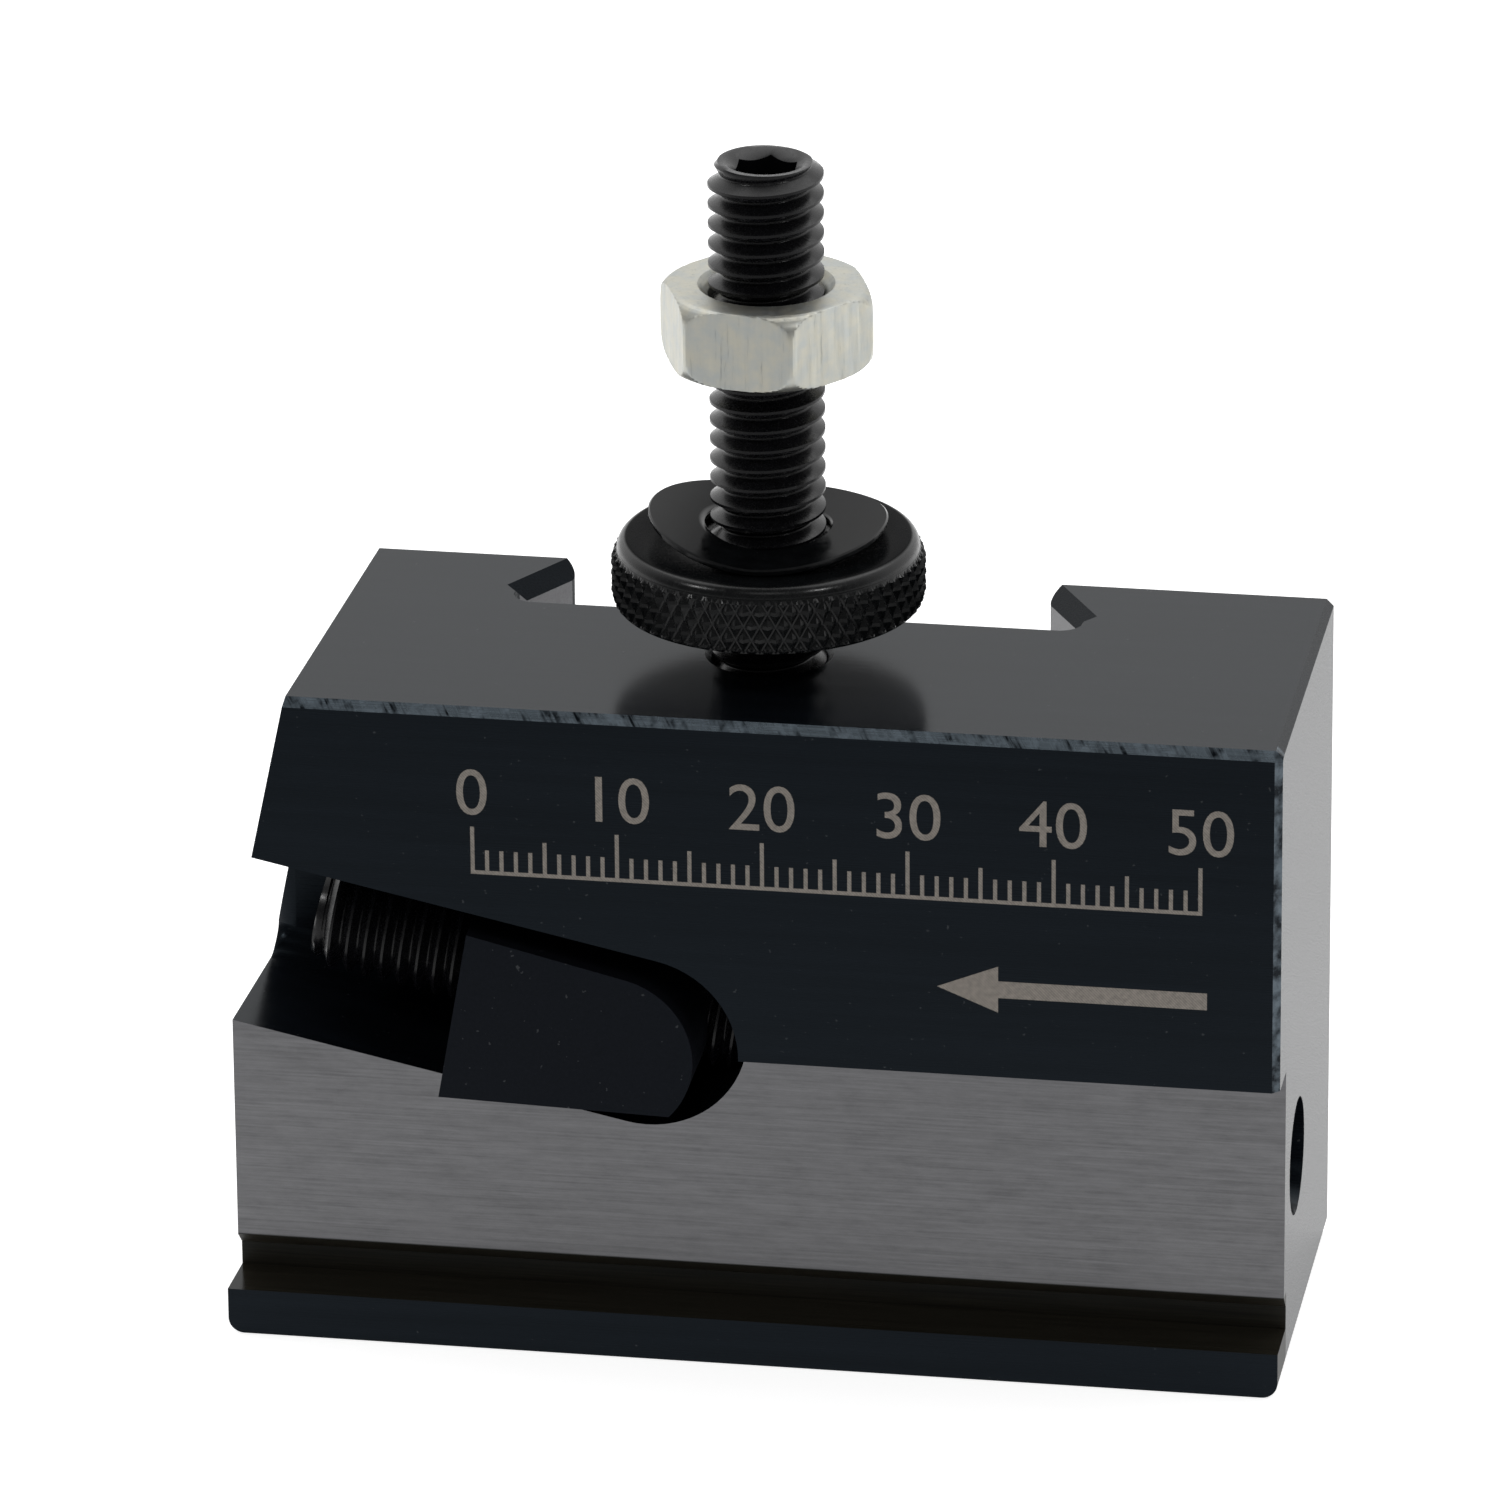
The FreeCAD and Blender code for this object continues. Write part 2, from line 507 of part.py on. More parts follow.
def make_lock_nut():
    """A hex jam nut whose corners are turned off at both ends."""
    body = new_body("lock_nut")
    blank = new_sketch(body, "XY_Plane", "hex_profile")
    hexagon(blank, "Sizes.lock_flats")
    pad(body, blank, "hex_blank", "Sizes.lock_thickness")
    bore = new_sketch(body, "XZ_Plane", "lock_bore_profile")
    inner = "Sizes.nut_bore / 2"
    outline(bore, [
        ("0", "0"),
        (f"{inner} + Sizes.nut_countersink", "0"),
        (inner, "Sizes.nut_countersink"),
        (inner, "Sizes.lock_thickness - Sizes.nut_countersink"),
        (f"{inner} + Sizes.nut_countersink", "Sizes.lock_thickness"),
        ("0", "Sizes.lock_thickness"),
    ])
    tapped = body.newObject("PartDesign::Groove", "lock_bore")
    tapped.Profile = bore
    tapped.ReferenceAxis = (bore, ["V_Axis"])
    tapped.Angle = 360

    # Each corner is cut back to the flats' own circle, sloping away at 30 degrees.
    corner = "(Sizes.lock_flats / 2 / cos(30 deg))"
    flat = "(Sizes.lock_flats / 2 - Sizes.lock_end_step)"
    outside = f"{corner} + Sizes.overrun"
    drop = f"(({corner} - {flat}) * tan(30 deg))"
    for name, end, inward in (("upper", "Sizes.lock_thickness", -1), ("lower", "0", 1)):
        turned = new_sketch(body, "XZ_Plane", f"{name}_corner_profile")
        outline(turned, [
            (flat, end),
            (outside, end),
            (outside, f"{end} + {inward} * ({drop} + Sizes.overrun * tan(30 deg))"),
        ])
        cut = body.newObject("PartDesign::Groove", f"{name}_corners")
        cut.Profile = turned
        cut.ReferenceAxis = (turned, ["V_Axis"])
        cut.Angle = 360
    body.Placement = stud_place(size("lock_base")).multiply(
        Placement(Vector(), Rotation(Vector(0, 0, 1), size("lock_turn"))))
    return body


# ---------------------------------------------------------------- build, check and write
MAKERS = [
    make_holder_body, make_blade_clamp, make_clamp_pin, make_clamp_screw,
    make_height_stud, make_thumb_nut, make_spring_washer, make_lock_nut,
]
nodes = [maker() for maker in MAKERS]
nodes[0].Placement = Placement(ORIGIN_SHIFT, Rotation())
doc.recompute()

for item in doc.Objects:
    if any(state in item.State for state in ("Invalid", "Error")):
        raise RuntimeError(f"{item.Label} failed: {item.State}")
for node in nodes:
    shape = node.Shape
    if shape.isNull() or not shape.isValid() or len(shape.Solids) != 1:
        raise RuntimeError(f"{node.Label} is not one valid solid")
for node in nodes:
    box = node.Shape.BoundBox
    node.Shape.exportStep(f"parts/{node.Label}.step")
    print(f"{node.Label:14s} volume {node.Shape.Volume / 1000:7.3f} cm3  x {box.XMin:7.2f} {box.XMax:7.2f}  "
          f"y {box.YMin:7.2f} {box.YMax:7.2f}  z {box.ZMin:6.2f} {box.ZMax:6.2f}")
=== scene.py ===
"""The finish of a parting-blade holder: ground and blackened block, threads, knurl, nuts and a studio."""
import json
import math

import bmesh
import bpy
from bpy.props import FloatProperty, FloatVectorProperty, IntProperty, PointerProperty
from mathutils import Matrix, Vector


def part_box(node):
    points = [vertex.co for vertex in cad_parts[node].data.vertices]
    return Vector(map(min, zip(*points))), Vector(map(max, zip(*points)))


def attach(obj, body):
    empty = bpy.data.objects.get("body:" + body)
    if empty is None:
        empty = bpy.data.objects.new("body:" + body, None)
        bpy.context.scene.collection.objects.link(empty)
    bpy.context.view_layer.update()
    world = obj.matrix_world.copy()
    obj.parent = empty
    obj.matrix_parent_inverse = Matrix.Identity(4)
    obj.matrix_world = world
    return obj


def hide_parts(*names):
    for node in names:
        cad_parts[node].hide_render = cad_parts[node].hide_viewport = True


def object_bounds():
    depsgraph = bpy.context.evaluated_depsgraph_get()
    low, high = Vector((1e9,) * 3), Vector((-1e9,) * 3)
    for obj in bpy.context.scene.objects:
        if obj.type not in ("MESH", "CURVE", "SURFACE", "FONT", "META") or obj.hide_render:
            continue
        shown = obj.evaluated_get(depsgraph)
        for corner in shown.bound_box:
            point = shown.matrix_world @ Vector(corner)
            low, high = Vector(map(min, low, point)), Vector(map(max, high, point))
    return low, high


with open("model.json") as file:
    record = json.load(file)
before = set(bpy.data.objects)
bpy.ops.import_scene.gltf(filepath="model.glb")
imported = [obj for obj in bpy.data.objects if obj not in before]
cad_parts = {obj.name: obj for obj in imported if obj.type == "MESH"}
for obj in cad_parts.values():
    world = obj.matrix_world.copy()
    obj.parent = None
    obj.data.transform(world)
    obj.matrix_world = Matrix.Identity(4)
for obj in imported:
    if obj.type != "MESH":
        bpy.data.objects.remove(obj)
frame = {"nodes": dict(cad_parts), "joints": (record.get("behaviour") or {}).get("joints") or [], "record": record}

bl_info = {
    "name": "Parting Blade Holder",
    "version": (1, 0, 0),
    "blender": (4, 5, 0),
    "location": "View3D > Sidebar > Holder",
    "description": "Builds the visible pieces and the studio of a quick change parting blade holder",
    "category": "Object",
}

MM = 0.001
CAD_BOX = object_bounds()


def srgb(hex_colour):
    """A hex sRGB colour as linear red, green and blue."""
    values = [int(hex_colour[i:i + 2], 16) / 255 for i in (1, 3, 5)]
    return [v / 12.92 if v <= 0.04045 else ((v + 0.055) / 1.055) ** 2.4 for v in values]


def joint_named(name):
    return next(j for j in frame["joints"] if j["name"] == name)


def mount_named(name):
    return next(m for m in frame["record"]["mounts"] if m["name"] == name)


def axis_line(node):
    """The x and y of the vertical axis through the middle of a node."""
    low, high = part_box(node)
    return (low.x + high.x) / 2, (low.y + high.y) / 2


# ---------------------------------------------------------------- settings
def length(name, description, default):
    return FloatProperty(name=name, description=description, default=default, unit="LENGTH", precision=5)


def colour(name, description, default):
    return FloatVectorProperty(name=name, description=description, default=srgb(default), subtype="COLOR",
                               size=3, min=0, max=1)


class ThreadSettings(bpy.types.PropertyGroup):
    """Thread sizes of the stud and of the clamp screw."""
    stud_pitch: length("Stud pitch", "Height of one turn of the 5/16-18 thread", 25.4 / 18 * MM)
    screw_pitch: length("Screw pitch", "Length of one turn of the M8 coarse thread", 1.25 * MM)
    stud_radius: length("Stud radius", "Crest radius of the stud's thread", 3.95 * MM)
    screw_radius: length("Screw radius", "Crest radius of the clamp screw's thread", 3.98 * MM)
    screw_left: length("Screw left end", "From the slot's end centre to the screw's socket end", 24.4 * MM)
    screw_right: length("Screw right end", "From the slot's end centre to the screw's blind end", 22.0 * MM)
    neck_offset: length("Neck offset", "From the slot's end centre to the screw's neck", 6.0 * MM)
    neck_width: length("Neck width", "Width of the screw's neck", 2.1 * MM)
    neck_radius: length("Neck radius", "Radius of the screw's neck", 2.95 * MM)
    socket: length("Socket", "Across flats of the hex sockets", 4.0 * MM)
    socket_depth: length("Socket depth", "Depth of the hex sockets", 4.6 * MM)


class NutSettings(bpy.types.PropertyGroup):
    """Sizes of the two nuts and of the washer between them."""
    knurl_teeth: IntProperty(name="Knurl teeth", description="Diamonds round the height nut", default=60)
    knurl_depth: length("Knurl depth", "Depth of the knurl's grooves", 0.42 * MM)
    shoulder: length("Shoulder", "Height of the height nut's smooth rounded top edge", 0.85 * MM)
    shoulder_run: length("Shoulder run", "How far the smooth top edge rounds inwards", 0.75 * MM)
    bore: length("Bore", "Radius of the nuts' threaded bores", 3.99 * MM)
    flats: length("Across flats", "Across flats of the jam nut", 13.2 * MM)
    corners: length("Corner radius", "Radius of the jam nut's rounded corners at half height", 7.55 * MM)
    washer_sheet: length("Washer sheet", "Thickness of the spring washer", 0.5 * MM)
    washer_rise: length("Washer rise", "Height of the washer's raised sides", 1.2 * MM)
    washer_lean: length("Washer lean", "How far the left side stands up and the right drops", 0.35 * MM)
    washer_hole: length("Washer hole", "Radius of the washer's hole", 4.3 * MM)


class FinishSettings(bpy.types.PropertyGroup):
    """Colours of the surfaces."""
    oxide: colour("Black oxide", "Blackened ground steel of the block", "#090c10")
    bare: colour("Ground steel", "Bare steel of the blade face", "#6e6e70")
    streak: colour("Chamfer streak", "Bright machining marks on the long chamfer", "#83909a")
    film: colour("Oil film", "Bluish sheen of the oiled black surfaces", "#d6ecff")
    relief: colour("Relief", "Brownish oxide in the relief groove and on the lip", "#1f1d18")
    clamp: colour("Clamp", "Matte black oxide of the wedge", "#0b0c10")
    screws: colour("Screws", "Oiled black oxide of the stud and the screw", "#08080a")
    nut: colour("Height nut", "Oiled black oxide of the height nut", "#08090a")
    zinc: colour("Zinc", "Bright zinc plate of the jam nut", "#b3b6b3")
    etch: colour("Etching", "Laser-etched marks on the front", "#8e877f")


class StudioSettings(bpy.types.PropertyGroup):
    """Floor, lights and camera."""
    floor: colour("Floor", "Colour of the floor", "#f2f2f2")
    azimuth: FloatProperty(name="Azimuth", description="Camera's angle to the right of the front",
                           default=math.radians(9.7), subtype="ANGLE")
    elevation: FloatProperty(name="Elevation", description="Camera's angle above the horizon",
                             default=math.radians(22.3), subtype="ANGLE")
    roll: FloatProperty(name="Roll", description="Camera's turn about its view", default=math.radians(0.51),
                        subtype="ANGLE")
    aim: FloatVectorProperty(name="Aim", description="The point that the camera looks at", size=3,
                             default=(-1.52 * MM, -2.44 * MM, 41.23 * MM), subtype="XYZ", unit="LENGTH")
    distance: length("Distance", "From the camera to the point that it looks at", 0.8246)
    lens: FloatProperty(name="Lens", description="Focal length in millimetres", default=288.0)


# ---------------------------------------------------------------- mesh helpers
def mesh_object(name, vertices, faces, body, smooth_angle=None):
    """A piece from vertices and faces that rides on a body."""
    mesh = bpy.data.meshes.new(name)
    mesh.from_pydata([tuple(v) for v in vertices], [], faces)
    return finish_piece(name, mesh, body, smooth_angle)


def finish_piece(name, mesh, body, smooth_angle=None):
    """Clean a mesh, shade edges under smooth_angle smooth and make it a piece that rides on a body."""
    tidy = bmesh.new()
    tidy.from_mesh(mesh)
    bmesh.ops.remove_doubles(tidy, verts=tidy.verts, dist=1e-7)
    bmesh.ops.dissolve_degenerate(tidy, edges=tidy.edges, dist=1e-7)
    bmesh.ops.recalc_face_normals(tidy, faces=tidy.faces)
    if smooth_angle is not None:
        for face in tidy.faces:
            face.smooth = True
        for edge in tidy.edges:
            if len(edge.link_faces) == 2:
                edge.smooth = edge.calc_face_angle(0) < smooth_angle
    tidy.to_mesh(mesh)
    tidy.free()
    piece = bpy.data.objects.new(name, mesh)
    bpy.context.scene.collection.objects.link(piece)
    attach(piece, body)
    return piece


def soften(piece, width):
    """A small rounding on every edge where the surface turns by more than 30 degrees."""
    bevel = piece.modifiers.new("soft_edges", "BEVEL")
    bevel.width = width
    bevel.segments = 2
    bevel.limit_method = "ANGLE"
    bevel.angle_limit = math.radians(30)


def turned(sections):
    """Vertices and faces of a ring: sections[column] lists the points round one radial cut."""
    columns, rows = len(sections), len(sections[0])
    vertices = [point for section in sections for point in section]
    faces = []
    for column in range(columns):
        after = (column + 1) % columns
        for row in range(rows):
            above = (row + 1) % rows
            faces.append((column * rows + row, after * rows + row,
                          after * rows + above, column * rows + above))
    return vertices, faces


def polar(radius, angle, level):
    return Vector((radius * math.cos(angle), radius * math.sin(angle), level))


# ---------------------------------------------------------------- threads
def threaded_rod(name, radius, pitch, low, high, chamfer, socket, socket_depth, socket_up=True, neck=None):
    """A right-hand threaded rod about Z from low to high, with turned ends and a hex socket in one of them.

    The mesh's rows follow the helix, so that the crests and roots stay crisp, and each row closes on the
    one that is a whole turn higher. A neck is a turned groove: its lowest level, highest level and radius.
    """
    columns = 56
    # One turn of a 60 degree thread with a slightly rounded root: (share of the pitch, depth).
    depth = 0.60 * pitch
    profile = [(0.0, 0.0), (0.14, 0.0), (0.46, 0.9 * depth), (0.52, depth), (0.60, depth),
               (0.66, 0.9 * depth)]
    per_turn = len(profile)
    turns = int((high - low) / pitch) + 3
    start = low - 1.5 * pitch
    rows = turns * per_turn

    def radius_at(row, level):
        below = min(max(level - low, 0.0), max(high - level, 0.0))
        turned_end = radius - chamfer + min(below, chamfer)
        value = min(radius - profile[row % per_turn][1], turned_end)
        if neck and neck[0] <= level <= neck[1]:
            value = min(value, neck[2])
        return value

    vertices = []
    for row in range(rows + per_turn + 1):
        for column in range(columns):
            share, _ = profile[row % per_turn]
            level = start + (row // per_turn + share + column / columns) * pitch
            vertices.append(polar(radius_at(row, level), 2 * math.pi * column / columns, level))
    faces = []
    for row in range(rows):
        for column in range(columns):
            here = row * columns + column
            if column + 1 < columns:
                faces.append((here, here + 1, here + columns + 1, here + columns))
            else:
                turn_up = (row + per_turn) * columns
                faces.append((here, turn_up, turn_up + columns, here + columns))
    mesh = bpy.data.meshes.new(name)
    shell = bmesh.new()
    points = [shell.verts.new(v) for v in vertices]
    for corners in faces:
        if max(corners) < len(points):
            shell.faces.new([points[i] for i in corners])
    for level in neck[:2] if neck else ():
        geometry = shell.verts[:] + shell.edges[:] + shell.faces[:]
        bmesh.ops.bisect_plane(shell, geom=geometry, dist=1e-8, plane_co=(0, 0, level), plane_no=(0, 0, 1))
    for level, side in ((low, -1), (high, 1)):
        geometry = shell.verts[:] + shell.edges[:] + shell.faces[:]
        bmesh.ops.bisect_plane(shell, geom=geometry, dist=1e-8, plane_co=(0, 0, level),
                               plane_no=(0, 0, side), clear_outer=True)
        rim = [e for e in shell.edges
               if e.is_boundary and all(abs(v.co.z - level) < 1e-7 for v in e.verts)]
        if (side > 0) == socket_up:
            add_socket(shell, rim, level, side, socket, socket_depth)
        else:
            bmesh.ops.triangle_fill(shell, edges=rim, use_beauty=True)
    shell.to_mesh(mesh)
    shell.free()
    return mesh


def add_socket(shell, rim, level, side, flats, depth):
    """Close a rod's end with a flat rim, a countersink and a hex socket that goes inwards from side."""
    count = 48
    mouth_radius = flats * 0.70
    mouth, edge, floor = [], [], []
    for index in range(count):
        angle = 2 * math.pi * index / count
        sixth = (angle + math.pi / 6) % (math.pi / 3) - math.pi / 6
        wall = flats / 2 / math.cos(sixth)
        drop = (mouth_radius - wall) * 0.75
        mouth.append(shell.verts.new(polar(mouth_radius, angle, level)))
        edge.append(shell.verts.new(polar(wall, angle, level - side * drop)))
        floor.append(shell.verts.new(polar(wall, angle, level - side * depth)))
    tip = shell.verts.new((0, 0, level - side * (depth + flats * 0.28)))
    ring = [shell.edges.new((mouth[i], mouth[(i + 1) % count])) for i in range(count)]
    bmesh.ops.triangle_fill(shell, edges=rim + ring, use_beauty=True)
    for i in range(count):
        after = (i + 1) % count
        shell.faces.new((mouth[i], mouth[after], edge[after], edge[i]))
        shell.faces.new((edge[i], edge[after], floor[after], floor[i]))
        shell.faces.new((floor[i], floor[after], tip))


# ---------------------------------------------------------------- material helpers
def new_material(name):
    material = bpy.data.materials.new(name)
    material.use_nodes = True
    material.node_tree.nodes.clear()
    return material, material.node_tree


def add_node(tree, kind, inputs=None, **settings):
    """Add a shader node. An input is a number, a colour, a socket, or a node for its first live output."""
    node = tree.nodes.new("ShaderNode" + kind)
    for key, value in settings.items():
        setattr(node, key, value)
    for key, value in (inputs or {}).items():
        if isinstance(value, bpy.types.Node):
            value = next(output for output in value.outputs if output.enabled)
        if isinstance(value, bpy.types.NodeSocket):
            tree.links.new(value, node.inputs[key])
        else:
            node.inputs[key].default_value = value
    return node


def rgba(values, gain=1.0):
    """A colour with its alpha, made darker or lighter by gain."""
    return (*(value * gain for value in values), 1.0)


def millimetres(tree):
    """The place on the object in millimetres."""
    place = add_node(tree, "TexCoord").outputs["Object"]
    return add_node(tree, "VectorMath", {0: place, "Scale": 1 / MM}, operation="SCALE")


def normal_parts(tree):
    """The X, Y and Z of the surface's normal."""
    return add_node(tree, "SeparateXYZ", {0: add_node(tree, "TexCoord").outputs["Normal"]}).outputs


def paint(piece, material):
    piece.data.materials.clear()
    piece.data.materials.append(material)


# ---------------------------------------------------------------- materials
def ground_black_oxide(finish):
    """Surface-ground tool steel, hot blackened and oiled, with the blade face ground bare afterwards.

    Grinding leaves fine parallel lines, the oxide film keeps a dark sheen, and the long front chamfer
    shows the slanted marks of its cutter.
    """
    material, tree = new_material("ground_black_oxide_steel")
    place = millimetres(tree)
    axis = add_node(tree, "SeparateXYZ", {0: place}).outputs
    facing = normal_parts(tree)
    low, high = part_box("holder_body")
    front, top = low.y / MM, high.z / MM
    face_y = mount_named("blade_channel")["pos_m"][1] / MM
    relief_top = 6.0

    # The blade face is bare.
    faces_front = add_node(tree, "MapRange", {0: facing[1], 1: -0.80, 2: -0.95})
    faces_top = add_node(tree, "MapRange", {0: facing[2], 1: 0.80, 2: 0.95})
    on_face = add_node(tree, "Math", {0: axis[1], 1: face_y, 2: 0.12}, operation="COMPARE")
    above_relief = add_node(tree, "MapRange", {0: axis[2], 1: relief_top + 0.02, 2: relief_top + 0.12})
    face = add_node(tree, "Math", {0: on_face, 1: faces_front}, operation="MULTIPLY")
    face = add_node(tree, "Math", {0: face, 1: above_relief}, operation="MULTIPLY")
    # So are the dovetail's flanks, which are upright and slant 60 degrees in plan.
    sideways = add_node(tree, "Math", {0: facing[0]}, operation="ABSOLUTE")
    slant = math.sin(math.radians(60))
    slants = add_node(tree, "Math", {0: sideways, 1: slant, 2: 0.03}, operation="COMPARE")
    at_back = add_node(tree, "MapRange", {0: axis[1], 1: face_y + 15.0, 2: face_y + 16.5})
    flank = add_node(tree, "Math", {0: slants, 1: at_back}, operation="MULTIPLY")
    bare = add_node(tree, "Math", {0: face, 1: flank}, operation="MAXIMUM")
    # The relief groove and the lip are brown, but for the lip's front.
    low_down = add_node(tree, "MapRange", {0: axis[2], 1: relief_top + 0.1, 2: relief_top})
    far_forward = add_node(tree, "MapRange", {0: axis[1], 1: face_y + 1.3, 2: face_y + 1.1})
    in_foot = add_node(tree, "Math", {0: low_down, 1: far_forward}, operation="MULTIPLY")
    at_lip = add_node(tree, "MapRange", {0: axis[1], 1: front + 0.9, 2: front + 0.6})
    lip_front = add_node(tree, "Math", {0: at_lip, 1: faces_front}, operation="MULTIPLY")
    not_lip_front = add_node(tree, "Math", {0: 1.0, 1: lip_front}, operation="SUBTRACT")
    relief = add_node(tree, "Math", {0: in_foot, 1: not_lip_front}, operation="MULTIPLY")
    # The long front chamfer faces up and forwards.
    forwards = add_node(tree, "MapRange", {0: facing[1], 1: -0.5, 2: -0.62})
    upwards = add_node(tree, "MapRange", {0: facing[2], 1: 0.5, 2: 0.62})
    chamfer = add_node(tree, "Math", {0: forwards, 1: upwards}, operation="MULTIPLY")
    at_top = add_node(tree, "MapRange", {0: axis[2], 1: top - 0.9, 2: top - 0.75})
    chamfer = add_node(tree, "Math", {0: chamfer, 1: at_top}, operation="MULTIPLY")

    # Grinding lines run along X, one every 0.14 mm, which is coarser than the real ones so that they show.
    grain = add_node(tree, "VectorMath", {0: place, 1: (0.05, 3.2, 3.2)}, operation="MULTIPLY")
    lines = add_node(tree, "TexNoise", {"Vector": grain, "Scale": 2.2, "Detail": 4.0, "Roughness": 0.62})
    grain = add_node(tree, "VectorMath", {0: place, 1: (0.025, 0.9, 0.9)}, operation="MULTIPLY")
    coarse = add_node(tree, "TexNoise", {"Vector": grain, "Scale": 1.1, "Detail": 3.0, "Roughness": 0.55})
    grain = add_node(tree, "VectorMath", {0: place, 1: (0.45, 1.0, 1.6)}, operation="MULTIPLY")
    mottle = add_node(tree, "TexNoise", {"Vector": grain, "Scale": 0.9, "Detail": 6.0, "Roughness": 0.65})

    # Black oxide is bluish and a little uneven, with pale dust specks.
    share = add_node(tree, "MapRange", {0: coarse, 1: 0.3, 2: 0.7})
    black = add_node(tree, "Mix", {0: share, 6: rgba(finish.oxide), 7: rgba(finish.oxide, 1.55)},
                     data_type="RGBA")
    specks = add_node(tree, "TexNoise", {"Vector": place, "Scale": 2.6, "Detail": 2.0, "Roughness": 0.4})
    share = add_node(tree, "MapRange", {0: specks, 1: 0.74, 2: 0.78, 4: 0.12})
    black = add_node(tree, "Mix", {0: share, 6: black, 7: rgba(srgb("#8b8e90"))}, data_type="RGBA")
    # Bare ground steel has short bright and dark dashes along the grinding direction.
    dashes = add_node(tree, "Mix", {0: 0.58, 2: lines, 3: mottle})
    share = add_node(tree, "MapRange", {0: dashes, 1: 0.36, 2: 0.64})
    steel = add_node(tree, "Mix", {0: share, 6: rgba(finish.bare, 0.62), 7: rgba(finish.bare)},
                     data_type="RGBA")
    share = add_node(tree, "MapRange", {0: lines, 1: 0.35, 2: 0.7})
    brown = add_node(tree, "Mix", {0: share, 6: rgba(finish.relief), 7: rgba(finish.relief, 1.8)},
                     data_type="RGBA")
    # The chamfer's cutter marks lean 40 degrees and are about 0.4 mm apart.
    turned_place = add_node(tree, "VectorRotate", {"Vector": place, "Angle": 0.7}, rotation_type="Y_AXIS")
    grain = add_node(tree, "VectorMath", {0: turned_place, 1: (2.6, 0.25, 0.25)}, operation="MULTIPLY")
    marks = add_node(tree, "TexNoise", {"Vector": grain, "Scale": 1.0, "Detail": 3.0, "Roughness": 0.55})
    marks = add_node(tree, "MapRange", {0: marks, 1: 0.42, 2: 0.62})
    cut = add_node(tree, "Mix", {0: marks, 6: rgba(finish.oxide), 7: rgba(finish.streak)}, data_type="RGBA")

    tint = add_node(tree, "Mix", {0: relief, 6: black, 7: brown}, data_type="RGBA")
    tint = add_node(tree, "Mix", {0: bare, 6: tint, 7: steel}, data_type="RGBA")
    tint = add_node(tree, "Mix", {0: chamfer, 6: tint, 7: cut}, data_type="RGBA")

    # The small roundings face between the flats, and near the front they are worn pale in patches.
    flattest = 0.0
    for part in facing:
        size = add_node(tree, "Math", {0: part}, operation="ABSOLUTE")
        flattest = add_node(tree, "Math", {0: size, 1: flattest}, operation="MAXIMUM")
    rounded = add_node(tree, "MapRange", {0: flattest, 1: 0.94, 2: 0.80})
    near_front = add_node(tree, "MapRange", {0: axis[1], 1: front + 1.6, 2: front + 1.2})
    worn = add_node(tree, "Math", {0: rounded, 1: near_front}, operation="MULTIPLY")
    patches = add_node(tree, "TexNoise", {"Vector": place, "Scale": 0.9, "Detail": 4.0, "Roughness": 0.55})
    patches = add_node(tree, "MapRange", {0: patches, 1: 0.38, 2: 0.62, 4: 0.55})
    worn = add_node(tree, "Math", {0: worn, 1: patches}, operation="MULTIPLY")
    tint = add_node(tree, "Mix", {0: worn, 6: tint, 7: rgba(finish.streak)}, data_type="RGBA")

    # The top face is ground finest and mirrors most; bare steel and the relief are duller.
    gloss = add_node(tree, "MapRange", {0: lines, 1: 0.3, 2: 0.7, 3: 0.22, 4: 0.34})
    bare_gloss = add_node(tree, "MapRange", {0: mottle, 1: 0.3, 2: 0.7, 3: 0.32, 4: 0.46})
    top_gloss = add_node(tree, "MapRange", {0: lines, 1: 0.3, 2: 0.7, 3: 0.13, 4: 0.21})
    gloss = add_node(tree, "Mix", {0: bare, 2: gloss, 3: bare_gloss})
    gloss = add_node(tree, "Mix", {0: relief, 2: gloss, 3: 0.42})
    gloss = add_node(tree, "Mix", {0: faces_top, 2: gloss, 3: top_gloss})
    metal = add_node(tree, "Math", {0: chamfer, 1: marks}, operation="MULTIPLY")
    metal = add_node(tree, "Math", {0: bare, 1: metal}, operation="MAXIMUM")
    film = add_node(tree, "Mix", {0: metal, 6: rgba(finish.film), 7: (1, 1, 1, 1)}, data_type="RGBA")
    sheen = add_node(tree, "Mix", {0: faces_top, 2: 1.205, 3: 1.26})
    height = add_node(tree, "Mix", {0: 0.3, 2: lines, 3: coarse})
    bumps = add_node(tree, "Bump", {"Height": height, "Distance": 0.012 * MM, "Strength": 0.5})
    shader = add_node(tree, "BsdfPrincipled", {
        "Base Color": tint, "Metallic": metal, "Roughness": gloss, "IOR": sheen, "Specular Tint": film,
        "Normal": bumps,
    })
    add_node(tree, "OutputMaterial", {"Surface": shader})
    return material


